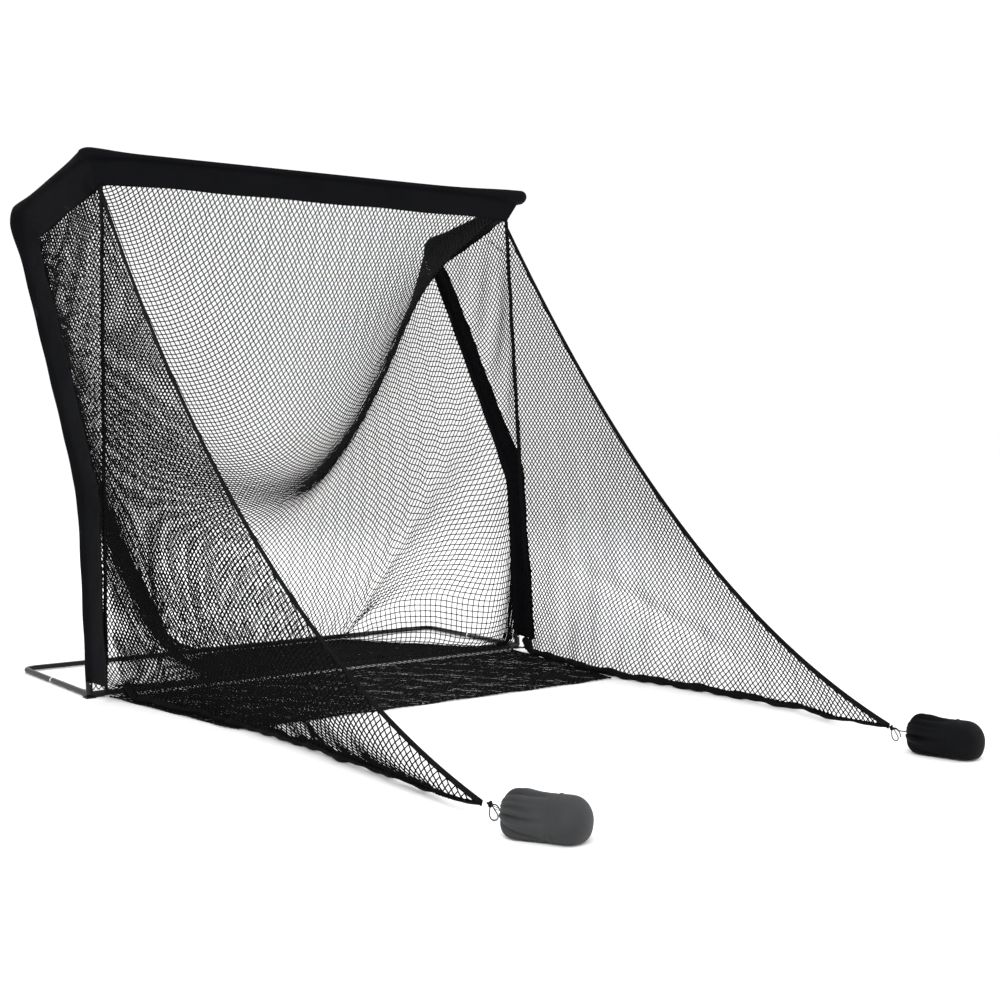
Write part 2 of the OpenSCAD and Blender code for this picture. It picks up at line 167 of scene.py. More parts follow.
def resample(grid: np.ndarray, count: int, axis: int) -> np.ndarray:
    """A grid of points made finer along one axis, with rounded curves.

    Args:
        grid: An array of points.
        count: The new number of points along the axis.
        axis: The axis to make finer.

    Returns:
        The finer grid.
    """
    g = np.moveaxis(grid, axis, 0)
    n = len(g)
    s = np.linspace(0, n - 1, count)
    k = np.clip(s.astype(int), 0, n - 2)
    t = (s - k).reshape(-1, *[1] * (g.ndim - 1))
    near = (g[np.clip(k - 1, 0, n - 1)], g[k], g[k + 1], g[np.clip(k + 2, 0, n - 1)])
    return np.moveaxis(curve_point(near, t), 0, axis)


def run_length(line: np.ndarray) -> float:
    """The length of a line of points."""
    return float(np.linalg.norm(np.diff(line, axis=0), axis=1).sum())


def run_along(line: np.ndarray) -> np.ndarray:
    """The distance along a line at each of its points."""
    return np.concatenate([[0], np.cumsum(np.linalg.norm(np.diff(line, axis=0), axis=1))])


def make_mesh(name: str, points: np.ndarray, faces: np.ndarray, finish: bpy.types.Material,
              uv: np.ndarray | None = None, smooth: bool = True) -> bpy.types.Object:
    """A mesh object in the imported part's frame.

    Args:
        name: The piece's name.
        points: Points from the feet line, n by 3.
        faces: Corner numbers, m by 3 or m by 4.
        finish: The piece's material.
        uv: Fabric coordinates in metres for each face corner.
        smooth: Whether the faces are shaded smoothly.

    Returns:
        The new object.
    """
    mesh = bpy.data.meshes.new(name)
    faces = np.asarray(faces, np.int32)
    mesh.vertices.add(len(points))
    mesh.vertices.foreach_set("co", LAYOUT.row(points).astype(np.float32).ravel())
    mesh.loops.add(faces.size)
    mesh.loops.foreach_set("vertex_index", faces.ravel())
    mesh.polygons.add(len(faces))
    starts = np.arange(0, faces.size, faces.shape[1], dtype=np.int32)
    mesh.polygons.foreach_set("loop_start", starts)
    mesh.update(calc_edges=True)
    if smooth:
        mesh.polygons.foreach_set("use_smooth", np.ones(len(faces), bool))
    if uv is not None:
        mesh.uv_layers.new(name="cut").data.foreach_set("uv", uv.astype(np.float32).ravel())
    mesh.validate()
    obj = bpy.data.objects.new(name, mesh)
    bpy.context.scene.collection.objects.link(obj)
    mesh.materials.append(finish)
    return obj


def loft(sections: np.ndarray, u: np.ndarray, v: np.ndarray, capped: bool = True) -> tuple:
    """Faces of a skin over closed sections.

    Args:
        sections: Points, stations by corners by 3. Corners run round the section.
        u: Distance along the loft at each station.
        v: Distance round the section, one more than its corners.
        capped: Whether the ends are closed.

    Returns:
        The points, the faces and the fabric coordinates.
    """
    n, m = sections.shape[:2]
    i, j = np.meshgrid(np.arange(n - 1), np.arange(m), indexing="ij")
    k = (j + 1) % m
    quads = np.stack([i * m + j, i * m + k, (i + 1) * m + k, (i + 1) * m + j], -1).reshape(-1, 4)
    uv = np.stack([np.stack([u[i], v[j]], -1), np.stack([u[i], v[j + 1]], -1),
                   np.stack([u[i + 1], v[j + 1]], -1), np.stack([u[i + 1], v[j]], -1)], 2)
    uv = uv.reshape(-1, 4, 2)
    if capped:
        h = np.arange(m // 2 - 1)
        ends = []
        for base, flip in ((0, False), ((n - 1) * m, True)):
            near, far = (m - 1 - h) % m, (m - 2 - h) % m
            cap = np.stack([base + h, base + near, base + far, base + h + 1], -1)
            ends.append(cap[:, ::-1] if flip else cap)
        caps = np.concatenate(ends)
        quads = np.concatenate([quads, caps])
        uv = np.concatenate([uv, np.zeros((len(caps), 4, 2))])
    return sections.reshape(-1, 3), quads, uv


def frames(line: np.ndarray) -> tuple:
    """Two directions across a line at each of its points, turned as little as possible.

    Args:
        line: The line's points, n by 3.

    Returns:
        The side directions and the up directions.
    """
    tangent = unit(np.gradient(line, axis=0))
    start = np.array([0, 0, 1.0]) if abs(tangent[0][2]) < 0.9 else np.array([1.0, 0, 0])
    ups = [unit(start - tangent[0] * (start @ tangent[0]))]
    for t in tangent[1:]:
        ups.append(unit(ups[-1] - t * (ups[-1] @ t)))
    up = np.array(ups)
    return np.cross(tangent, up), up


def sweep(name: str, line: np.ndarray, outline: np.ndarray, finish: bpy.types.Material,
          scale: np.ndarray | None = None, ups: np.ndarray | None = None) -> bpy.types.Object:
    """A closed section carried along a line.

    Args:
        name: The piece's name.
        line: The line's points, n by 3.
        outline: The section's corners as side and up, m by 2, m even.
        finish: The piece's material.
        scale: Size of the section at each point.
        ups: Up direction at each point, where it isn't free.

    Returns:
        The new object.
    """
    side, up = frames(line)
    if ups is not None:
        tangent = unit(np.gradient(line, axis=0))
        side = unit(np.cross(tangent, ups))
        up = np.cross(side, tangent)
    scale = np.ones(len(line)) if scale is None else scale
    grow = scale[:, None, None]
    sections = (line[:, None] + side[:, None] * outline[None, :, :1] * grow
                + up[:, None] * outline[None, :, 1:] * grow)
    ring = np.linalg.norm(outline - np.roll(outline, -1, 0), axis=1)
    points, faces, uv = loft(sections, run_along(line), np.concatenate([[0], np.cumsum(ring)]))
    return make_mesh(name, points, faces, finish, uv)


def circle(radius: float, corners: int = 10) -> np.ndarray:
    """The corners of a round section."""
    a = np.arange(corners) * 2 * np.pi / corners
    return radius * np.stack([np.cos(a), np.sin(a)], 1)


def band(width: float, thick: float) -> np.ndarray:
    """A flat section with rounded edges, such as webbing.

    Args:
        width: Width across.
        thick: Thickness.

    Returns:
        The section's corners, across and up.
    """
    w, t = width / 2, thick / 2
    top = [(-w, 0), (-w + t, t), (-w / 3, t), (w / 3, t), (w - t, t), (w, 0)]
    return np.array(top + [(x, -y) for x, y in top[-2:0:-1]])


@dataclass
class Netting:
    """Knotted diamond netting, made as a three-sided strand for each row of bars.

    Its mesh is the diagonal of a square diamond, strand is a strand's radius and
    jitter is how far the knots wander.
    """

    mesh: float = 0.031
    strand: float = 0.0030
    jitter: float = 0.0006
    corners: tuple = (0, 2.0944, 4.1888)

    def weave(self, name: str, place: Place, size: tuple, finish: bpy.types.Material,
              keep: Place | None = None, seed: int = 1) -> bpy.types.Object:
        """Netting laid on a surface.

        Args:
            name: The piece's name.
            place: Gives the point for each pair of flat coordinates.
            size: Width and length of the flat cut.
            finish: The piece's material.
            keep: True where the cut has netting.
            seed: Start of the random numbers that loosen the knots.

        Returns:
            The netting.
        """
        half = self.mesh / 2
        cols, rows = (int(round(s / half)) + 1 for s in size)
        i, j = np.meshgrid(np.arange(cols), np.arange(rows), indexing="ij")
        spots = place(i * half, j * half)
        spots = spots + np.random.default_rng(seed).normal(0, self.jitter, spots.shape)
        knot = (i + j) % 2 == 0
        if keep is not None:
            knot &= keep(i * half, j * half)
        du, dv = np.gradient(spots, axis=0), np.gradient(spots, axis=1)
        normal = unit(np.cross(du, dv))
        points, faces = [], []
        number = (i * rows + j) * 3
        for slope in (1, -1):
            tangent = unit(du + slope * dv)
            side = np.cross(tangent, normal)
            ring = [spots + self.strand * (math.cos(a) * normal + math.sin(a) * side)
                    for a in self.corners]
            base = 3 * cols * rows * len(points)
            points.append(np.stack(ring, 2).reshape(-1, 3))
            a = (slice(0, -1), slice(0, -1) if slope > 0 else slice(1, None))
            b = (slice(1, None), slice(1, None) if slope > 0 else slice(0, -1))
            both = knot[a] & knot[b]
            p, q = number[a][both] + base, number[b][both] + base
            for k in range(3):
                n = (k + 1) % 3
                faces.append(np.stack([p + k, q + k, q + n, p + n], 1))
        used, faces = np.unique(np.concatenate(faces), return_inverse=True)
        return make_mesh(name, np.concatenate(points)[used], faces.reshape(-1, 4), finish)


# ---- shader groups ------------------------------------------------------------

class Group:
    """A shader node group that several finishes share, built once."""

    def __init__(self, name: str, inputs: dict, outputs: dict) -> None:
        """Starts the group with its sockets.

        Args:
            name: The group's name.
            inputs: Default value of each number that goes in.
            outputs: Socket type of each result.
        """
        self.tree = bpy.data.node_groups.new(name, "ShaderNodeTree")
        for key, value in inputs.items():
            socket = self.tree.interface.new_socket(name=key, in_out="INPUT",
                                                    socket_type="NodeSocketFloat")
            socket.default_value = value
        for key, kind in outputs.items():
            self.tree.interface.new_socket(name=key, in_out="OUTPUT", socket_type=kind)
        self.start = self.tree.nodes.new("NodeGroupInput")
        self.end = self.tree.nodes.new("NodeGroupOutput")

    def node(self, kind: str, **settings: object) -> bpy.types.Node:
        """A new node in the group.

        Args:
            kind: The node's type.
            settings: Properties to set on it.

        Returns:
            The node.
        """
        made = self.tree.nodes.new(kind)
        for key, value in settings.items():
            setattr(made, key, value)
        return made

    def join(self, a: object, b: object) -> None:
        """Links an output to an input."""
        self.tree.links.new(a, b)

    def sum(self, operation: str, *values: object) -> object:
        """The result of a maths node.

        Args:
            operation: The maths node's operation.
            values: Sockets or plain numbers that go in.

        Returns:
            The result's socket.
        """
        made = self.node("ShaderNodeMath", operation=operation)
        for slot, value in zip(made.inputs, values):
            if isinstance(value, (int, float)):
                slot.default_value = value
            else:
                self.join(value, slot)
        return made.outputs[0]


def thread_counts(g: Group) -> tuple:
    """The cloth's coordinates, counted in threads.

    Args:
        g: The group, whose first input is the count for a metre over pi.

    Returns:
        The sockets along and across the cloth.
    """
    cut = g.node("ShaderNodeTexCoord")
    split = g.node("ShaderNodeSeparateXYZ")
    g.join(cut.outputs["UV"], split.inputs[0])
    return tuple(g.sum("MULTIPLY", split.outputs[k], g.start.outputs[0]) for k in (0, 1))


def weave_group() -> bpy.types.NodeTree:
    """Plain weave: threads over and under each other, along and across the cloth.

    Returns:
        A group that puts out the threads' height.
    """
    g = Group("plain_weave", {"Threads": 1100.0}, {"Height": "NodeSocketFloat"})
    u, v = thread_counts(g)
    warp = g.sum("ABSOLUTE", g.sum("SINE", g.sum("MULTIPLY", u, math.pi)))
    weft = g.sum("ABSOLUTE", g.sum("SINE", g.sum("MULTIPLY", v, math.pi)))
    parity = g.sum("ADD", g.sum("FLOOR", u), g.sum("FLOOR", v))
    over = g.sum("MODULO", g.sum("ABSOLUTE", parity), 2.0)
    height = g.sum("ADD", g.sum("MULTIPLY", warp, over),
                   g.sum("MULTIPLY", weft, g.sum("SUBTRACT", 1.0, over)))
    g.join(height, g.end.inputs[0])
    return g.tree


def braid_group() -> bpy.types.NodeTree:
    """Braided cord: two sets of strands crossing on a slant.

    Returns:
        A group that puts out the strands' height.
    """
    g = Group("braid", {"Strands": 400.0}, {"Height": "NodeSocketFloat"})
    u, v = thread_counts(g)
    one = g.sum("ABSOLUTE", g.sum("SINE", g.sum("ADD", u, v)))
    two = g.sum("ABSOLUTE", g.sum("SINE", g.sum("SUBTRACT", u, v)))
    g.join(g.sum("MAXIMUM", one, two), g.end.inputs[0])
    return g.tree


def mottle_group() -> bpy.types.NodeTree:
    """Slow and fine unevenness, as of dye, dust or handling.

    Returns:
        A group that puts out a mask and a height, both from 0 to 1.
    """
    g = Group("mottle", {"Broad": 6.0, "Fine": 90.0},
              {"Mask": "NodeSocketFloat", "Height": "NodeSocketFloat"})
    place = g.node("ShaderNodeTexCoord")
    for k, detail in enumerate((4.0, 6.0)):
        noise = g.node("ShaderNodeTexNoise")
        noise.inputs["Detail"].default_value = detail
        g.join(place.outputs["Object"], noise.inputs["Vector"])
        g.join(g.start.outputs[k], noise.inputs["Scale"])
        g.join(noise.outputs["Fac"], g.end.inputs[k])
    return g.tree


def edge_group() -> bpy.types.NodeTree:
    """Rubbed edges: a mask that is strong on corners and breaks up with the grain.

    Returns:
        A group that puts out the mask.
    """
    g = Group("rubbed_edge", {"Amount": 0.5}, {"Mask": "NodeSocketFloat"})
    shape = g.node("ShaderNodeNewGeometry")
    place = g.node("ShaderNodeTexCoord")
    noise = g.node("ShaderNodeTexNoise")
    noise.inputs["Scale"].default_value = 160.0
    g.join(place.outputs["Object"], noise.inputs["Vector"])
    corner = g.node("ShaderNodeMapRange")
    corner.inputs["From Min"].default_value = 0.52
    corner.inputs["From Max"].default_value = 0.62
    g.join(shape.outputs["Pointiness"], corner.inputs["Value"])
    worn = g.sum("MULTIPLY", corner.outputs[0], g.sum("MULTIPLY", noise.outputs["Fac"], 1.6))
    g.join(g.sum("MULTIPLY", worn, g.start.outputs[0]), g.end.inputs[0])
    return g.tree


class Surface(Enum):
    """What gives a finish its fine relief."""

    WEAVE = "plain_weave"
    BRAID = "braid"
    PLAIN = "mottle"


@dataclass(frozen=True)
class Finish:
    """A finish of this net: its colours, its relief and its gloss."""

    name: str
    deep: tuple
    worn: tuple
    rough: float
    surface: Surface = Surface.PLAIN
    pitch: float = 1100.0
    relief: float = 0.3
    depth: float = 0.0004
    metal: float = 0.0
    sheen: float = 0.0
    sheen_rough: float = 0.5
    coat: float = 0.0
    specular: float = 0.5
    broad: float = 6.0
    fine: float = 90.0
    edge: float = 0.0

    def build(self) -> bpy.types.Material:
        """Makes the finish's material.

        Returns:
            The material.
        """
        rough_spread, dust_share = 0.08, 0.4
        material = bpy.data.materials.new(self.name)
        material.use_nodes = True
        nodes, links = material.node_tree.nodes, material.node_tree.links
        skin = nodes["Principled BSDF"]
        mottle = nodes.new("ShaderNodeGroup")
        mottle.node_tree = bpy.data.node_groups["mottle"]
        mottle.inputs["Broad"].default_value = self.broad
        mottle.inputs["Fine"].default_value = self.fine
        tint = nodes.new("ShaderNodeMix")
        tint.data_type = "RGBA"
        tint.inputs["A"].default_value = (*self.deep, 1)
        tint.inputs["B"].default_value = (*self.worn, 1)
        mask = mottle.outputs["Mask"]
        if self.edge:
            edge = nodes.new("ShaderNodeGroup")
            edge.node_tree = bpy.data.node_groups["rubbed_edge"]
            edge.inputs["Amount"].default_value = self.edge
            both = nodes.new("ShaderNodeMath")
            both.operation = "MAXIMUM"
            soft = nodes.new("ShaderNodeMath")
            soft.operation = "MULTIPLY"
            soft.inputs[1].default_value = dust_share
            links.new(mask, soft.inputs[0])
            links.new(soft.outputs[0], both.inputs[0])
            links.new(edge.outputs["Mask"], both.inputs[1])
            mask = both.outputs[0]
        links.new(mask, tint.inputs["Factor"])
        links.new(tint.outputs["Result"], skin.inputs["Base Color"])
        rough = nodes.new("ShaderNodeMapRange")
        rough.inputs["To Min"].default_value = max(self.rough - rough_spread, 0.02)
        rough.inputs["To Max"].default_value = min(self.rough + rough_spread, 1.0)
        links.new(mottle.outputs["Height"], rough.inputs["Value"])
        links.new(rough.outputs[0], skin.inputs["Roughness"])
        height = mottle.outputs["Height"]
        if self.surface is not Surface.PLAIN:
            relief = nodes.new("ShaderNodeGroup")
            relief.node_tree = bpy.data.node_groups[self.surface.value]
            relief.inputs[0].default_value = self.pitch
            height = relief.outputs["Height"]
        bump = nodes.new("ShaderNodeBump")
        bump.inputs["Strength"].default_value = self.relief
        bump.inputs["Distance"].default_value = self.depth
        links.new(height, bump.inputs["Height"])
        links.new(bump.outputs["Normal"], skin.inputs["Normal"])
        skin.inputs["Metallic"].default_value = self.metal
        skin.inputs["Sheen Weight"].default_value = self.sheen
        skin.inputs["Sheen Roughness"].default_value = self.sheen_rough
        skin.inputs["Coat Weight"].default_value = self.coat
        skin.inputs["Specular IOR Level"].default_value = self.specular
        return material


@dataclass
class Palette:
    """Every finish of the net, built once and handed out by name."""

    finishes: tuple = (
        Finish("black_paint", (0.0035, 0.0035, 0.0040), (0.014, 0.014, 0.015), 0.42, fine=700.0,
               relief=0.12, depth=0.0003, edge=0.35, coat=0.04, specular=0.22),
        Finish("bare_steel", (0.33, 0.33, 0.34), (0.46, 0.46, 0.47), 0.36, fine=500.0, metal=1.0),
        Finish("plated_steel", (0.56, 0.56, 0.58), (0.74, 0.74, 0.76), 0.24, fine=500.0,
               relief=0.05, metal=1.0, edge=0.4),
        Finish("spring_steel", (0.22, 0.22, 0.24), (0.36, 0.36, 0.38), 0.30, fine=600.0, metal=1.0),
        Finish("cover_fabric", (0.0013, 0.0014, 0.0019), (0.0042, 0.0044, 0.0056), 0.74,
               Surface.WEAVE, pitch=900.0, relief=0.45, depth=0.0005, specular=0.045),
        Finish("net_twine", (0.0010, 0.0010, 0.0012), (0.0030, 0.0030, 0.0036), 0.75, broad=3.0,
               fine=900.0, relief=0.25, depth=0.0003, specular=0.06),
        Finish("hem_cord", (0.0012, 0.0012, 0.0014), (0.0035, 0.0035, 0.0040), 0.76, Surface.BRAID,
               pitch=900.0, relief=0.6, depth=0.0008, specular=0.07),
        Finish("webbing", (0.0014, 0.0014, 0.0017), (0.0040, 0.0040, 0.0046), 0.72, Surface.WEAVE,
               pitch=600.0, relief=0.55, depth=0.0007, specular=0.08),
        Finish("tie_cord", (0.0020, 0.0020, 0.0023), (0.0055, 0.0055, 0.0060), 0.66, Surface.BRAID,
               pitch=1600.0, relief=0.5, depth=0.0005, specular=0.12),
        # The two bag finishes are lit and shaded copies of one fabric: the lighter one carries painted
        # light for the left bag, the darker one carries painted shade for the right bag.
        Finish("bag_fabric", (0.021, 0.0215, 0.0225), (0.038, 0.039, 0.041), 0.66, Surface.WEAVE,
               pitch=800.0, relief=0.4, depth=0.0005, sheen=0.05, specular=0.18, broad=14.0),
        Finish("bag_fabric_dark", (0.0012, 0.0013, 0.0018), (0.0040, 0.0043, 0.0054), 0.66, Surface.WEAVE,
               pitch=800.0, relief=0.4, depth=0.0005, specular=0.07, broad=14.0),
        Finish("sand", (0.36, 0.28, 0.18), (0.52, 0.43, 0.30), 0.95, fine=1400.0, relief=0.8),
    )

    def __post_init__(self) -> None:
        """Builds the shared groups and the materials."""
        for build in (weave_group, braid_group, mottle_group, edge_group):
            build()
        self.made = {f.name: f.build() for f in self.finishes}

    def __getitem__(self, name: str) -> bpy.types.Material:
        """The material of that name."""
        return self.made[name]


# ---- studio --------------------------------------------------------------------

@dataclass
class Studio:
    """Pale floor, soft light and the camera."""

    eye: tuple = (-3.848, -6.664, 1.316)
    turn: float = 0.639
    tilt: float = -0.060
    lens: float = 55.32
    sky: float = 1.05
    floor_tone: float = 0.97
    floor_reach: float = 60.0
    lamps: tuple = (("key", (-5.0, -6.0, 6.0), (0, -0.5, 1.0), 5.0, 420.0),
                    ("fill", (6.0, -5.0, 4.0), (0, -0.5, 0.6), 5.0, 180.0),
                    ("back", (1.0, 6.0, 5.5), (0, 0.4, 1.2), 4.0, 200.0))

    def camera(self) -> None:
        """Sets up the camera."""
        data = bpy.data.cameras.new("camera")
        data.lens, data.sensor_width = self.lens, 36.0
        data.clip_end = 200.0
        camera = bpy.data.objects.new("camera", data)
        bpy.context.scene.collection.objects.link(camera)
        camera.location = LAYOUT.row(np.array(self.eye))
        camera.rotation_euler = (math.pi / 2 + self.tilt, 0, -self.turn)
        bpy.context.scene.camera = camera

    def room(self) -> None:
        """Lays the floor and hangs the lights."""
        world = bpy.data.worlds.new("soft_room")
        world.use_nodes = True
        sky = world.node_tree.nodes["Background"]
        sky.inputs["Color"].default_value = (1, 1, 1, 1)
        sky.inputs["Strength"].default_value = self.sky
        bpy.context.scene.world = world
        bpy.context.scene.view_settings.view_transform = "Standard"
        paint = bpy.data.materials.new("floor_paint")
        paint.use_nodes = True
        nodes, links = paint.node_tree.nodes, paint.node_tree.links
        skin = nodes["Principled BSDF"]
        skin.inputs["Base Color"].default_value = (*[self.floor_tone] * 3, 1)
        skin.inputs["Roughness"].default_value = 0.9
        skin.inputs["Specular IOR Level"].default_value = 0.1
        links.new(skin.outputs[0], nodes["Material Output"].inputs["Surface"])
        r, under = self.floor_reach, -0.0005
        corners = np.array([(-r, -r, under), (r, -r, under), (r, r, under), (-r, r, under)])
        floor = make_mesh("floor", corners, np.array([[0, 1, 2, 3]]), paint, smooth=False)
        for name, spot, aim, size, power in self.lamps:
            lamp = bpy.data.lights.new(name, "AREA")
            lamp.size, lamp.energy = size, power
            lamp_object = bpy.data.objects.new(name, lamp)
            bpy.context.scene.collection.objects.link(lamp_object)
            lamp_object.location = LAYOUT.row(np.array(spot))
            way = Vector(LAYOUT.row(np.array(aim, float))) - lamp_object.location
            lamp_object.rotation_euler = way.to_track_quat("-Z", "Y").to_euler()


# ---- fabric covers -----------------------------------------------------------------

@dataclass
class Sleeve:
    """A fabric cover: a pocket round the tube and a doubled flap beside it."""

    pocket: float = 0.0150
    cloth: float = 0.0030
    hem: float = 0.020
    creases: float = 0.0034
    wander: float = 0.0022
    pocket_angles: tuple = (155, 130, 105, 80, 58, 40)
    seam: tuple = (1.30, 1.62)
    flap_points: int = 9
    hem_roll: tuple = ((0.018, 1.5), (0.010, 1.7), (0.004, 1.55), (0.0, 0.0))
    crease_reach: float = 0.22
    flat_end: float = 0.09

    def half_section(self, width: np.ndarray, r: np.ndarray) -> tuple:
        """Half of the section, from the tube's far side to the flap's edge.

        Args:
            width: Distance from the tube's centre to the flap's edge at each station.
            r: Radius of the pocket at each station.

        Returns:
            Distance across and height, stations by corners.
        """
        t = self.cloth / 2
        across, height = [-r], [0 * width]
        for a in self.pocket_angles:
            across.append(r * math.cos(math.radians(a)))
            height.append(r * math.sin(math.radians(a)))
        across.append(self.seam[0] * r)
        height.append(1.6 * t + 0 * width)
        inner, outer = self.seam[1] * r, width - self.hem
        for share in np.linspace(0, 1, self.flap_points):
            across.append(inner + (outer - inner) * share)
            height.append(t * (1.0 if share > 0 else 0.7) + 0 * width)
        for back, h in self.hem_roll:
            across.append(width - back)
            height.append(t * h + 0 * width)
        return np.stack(across, 1), np.stack(height, 1)

    def sew(self, name: str, centre: np.ndarray, edge: np.ndarray, corners: dict,
            finish: bpy.types.Material, phase: float) -> bpy.types.Object:
        """One cover.

        Args:
            name: The piece's name.
            centre: The tube's line under the cover.
            edge: The flap's edge for each point of that line.
            corners: Stations where creases run out from a corner, with how far the
                pocket bulges there and how far along.
            finish: The piece's material.
            phase: Shift of the creases, so that no two covers match.

        Returns:
            The cover.
        """
        out = edge - centre
        width = np.linalg.norm(out, axis=1)
        out = out / width[:, None]
        middle = (centre + edge) / 2
        tangent = unit(np.gradient(middle, axis=0))
        normal = unit(np.cross(tangent, out))
        run = run_along(middle)
        pocket = np.full(len(run), self.pocket)
        for c, (bulge, reach) in corners.items():
            pocket = pocket + bulge * np.exp(-((run - run[c]) / reach) ** 2)
        across, height = self.half_section(width, pocket)
        share = np.clip(across / width[:, None], 0, 1)
        s = run[:, None] + 0 * across
        loose = ease(share, 0.12, 0.9)
        wave = (np.sin(s * 7.3 + phase) + 0.6 * np.sin(s * 17.1 + 2.1 * phase + 3 * share)
                + 0.35 * np.sin(s * 41.0 + phase * 3.7 + 9 * share))
        for c in corners:
            gap = s - run[c]
            spread = np.arctan2(across, gap + 0.001)
            wave = wave + 1.1 * np.exp(-(gap / self.crease_reach) ** 2) * np.sin(spread * 13 + phase)
        ends = ease(np.minimum(s, run[-1] - s), 0.0, self.flat_end)
        shift = self.creases * wave * loose * ends
        wander = self.wander * np.sin(s * 11.0 + phase * 1.7) * loose
        base = centre[:, None] + out[:, None] * (across + wander)[..., None]
        puff = 1 + 0.10 * np.sin(s * 23 + phase) * (1 - loose)
        top = base + normal[:, None] * (shift + height * puff)[..., None]
        low = base + normal[:, None] * (shift - height * puff)[..., None]
        sections = np.concatenate([top, low[:, -2:0:-1]], 1)
        closed = np.concatenate([sections, sections[:, :1]], 1)
        ring = np.linalg.norm(np.diff(closed, axis=1), axis=2)
        points, faces, uv = loft(sections, run, np.concatenate([[0], np.cumsum(ring.mean(0))]))
        return make_mesh(name, points, faces, finish, uv)


@dataclass
class Covers:
    """The black fabric covers over the crossbar, the arms and the uprights."""

    palette: Palette
    top_corner: tuple = (1.133, -0.015, 2.310)
    elbow_corner: tuple = (1.184, 0.640, 2.132)
    knee_corner: tuple = (1.199, -0.090, 0.972)
    foot_edge: tuple = (1.206, -0.176, 0.070)
    foot_end: tuple = (0.0045, 0.074)
    lap: tuple = (-0.014, 0, 0.006)
    bend: tuple = (0.034, 0.07, 0.20)
    run_points: tuple = (34, 56, 34)
    turn_points: tuple = (9, 7)
    span_points: int = 60
    drop: float = 0.1305

    def arc(self, a: np.ndarray, b: np.ndarray, c: np.ndarray, radius: float,
            steps: int) -> np.ndarray:
        """A rounded corner.

        Args:
            a: A point on the line into the corner.
            b: The corner.
            c: A point on the line out of it.
            radius: The corner's radius.
            steps: How many points to return.

        Returns:
            Points round the corner.
        """
        u, w = unit(a - b), unit(c - b)
        half = math.acos(float(np.clip(u @ w, -1, 1))) / 2
        middle = b + unit(u + w) * radius / math.sin(half)
        first = b + u * radius / math.tan(half)
        last = b + w * radius / math.tan(half)
        p, q = first - middle, last - middle
        angle = math.acos(float(np.clip(unit(p) @ unit(q), -1, 1)))
        t = np.linspace(0, 1, steps)[:, None]
        return middle + (np.sin((1 - t) * angle) * p + np.sin(t * angle) * q) / math.sin(angle)

    def side(self, side: Side) -> bpy.types.Object:
        """The cover over one arm and upright.

        Args:
            side: Which hand.

        Returns:
            The cover.
        """
        s = side.value
        hand = np.array([s, 1, 1])
        top, elbow, knee, foot = (np.array([LAYOUT.half_width, *p]) * hand for p in
                                  (LAYOUT.bar, LAYOUT.elbow, LAYOUT.knee, self.foot_end))
        start = self.arc(top + [-s * 0.5, 0, 0], top, elbow, self.bend[0], 2)[-1]
        at_elbow = self.arc(top, elbow, knee, self.bend[1], self.turn_points[0])
        at_knee = self.arc(elbow, knee, foot, self.bend[2], self.turn_points[1])
        corners = [np.array(p) * hand for p in (self.top_corner, self.elbow_corner,
                                                self.knee_corner, self.foot_edge)]
        corners[0] = corners[0] + np.array(self.lap) * hand
        centre, edge = [], []
        ends = ((start, at_elbow[0]), (at_elbow[-1], at_knee[0]), (at_knee[-1], foot))
        for k, ((a, b), count) in enumerate(zip(ends, self.run_points)):
            t = np.linspace(0, 1, count)[min(k, 1):, None]
            centre.append(a + (b - a) * t)
            edge.append(corners[k] + (corners[k + 1] - corners[k]) * t)
            if k < 2:
                turn = (at_elbow, at_knee)[k][1:]
                centre.append(turn)
                edge.append(np.repeat(corners[k + 1][None], len(turn), 0))
        # Each corner of the flap turns a little, so that its edge has no kink
        edge_line = np.concatenate(edge)
        for _ in range(6):
            edge_line[1:-1] = edge_line[1:-1] * 0.5 + (edge_line[:-2] + edge_line[2:]) * 0.25
        elbow_at = self.run_points[0] + self.turn_points[0] // 2
        knee_at = self.run_points[0] + self.turn_points[0] + self.run_points[1] - 3
        bulges = {0: (0.006, 0.10), elbow_at: (0.016, 0.13), knee_at: (0.005, 0.12)}
        piece = Sleeve().sew(f"side_cover_{side.word}", np.concatenate(centre), edge_line, bulges,
                             self.palette["cover_fabric"], 1.0 + s)
        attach(piece, "frame")
        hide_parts(f"arm_cover_{side.word}", f"upright_cover_{side.word}")
        return piece

    def crossbar(self) -> bpy.types.Object:
        """The cover over the crossbar, which wraps both top corners.

        Returns:
            The cover.
        """
        x, (y, z) = LAYOUT.half_width, LAYOUT.bar
        top, elbow = np.array([x, y, z]), np.array([x, *LAYOUT.elbow])
        fan = self.turn_points[0]
        turn = self.arc(elbow, top, top - [0.5, 0, 0], self.bend[0], fan)
        corner = np.array(self.top_corner)
        t = np.linspace(0, 1, self.span_points)[1:-1, None]
        left, right = turn * [-1, 1, 1], turn[::-1]
        span = left[-1] + (right[0] - left[-1]) * t
        lower = np.concatenate([-corner[0] + 2 * corner[0] * t, y + 0 * t, z - self.drop + 0 * t], 1)
        lower[:, 1] += (corner[1] - y) * ease(np.abs(lower[:, 0]), 0.85, 1.14)
        centre = np.concatenate([left, span, right])
        edge = np.concatenate([np.repeat((corner * [-1, 1, 1])[None], fan, 0), lower,
                               np.repeat(corner[None], fan, 0)])
        bulges = {6: (0.010, 0.12), len(centre) - 7: (0.018, 0.30)}
        piece = Sleeve(creases=0.0026).sew("top_cover", centre, edge, bulges,
                                           self.palette["cover_fabric"], 0.4)
        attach(piece, "frame")
        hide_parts("crossbar_cover")
        return piece


# ---- back net ------------------------------------------------------------------------

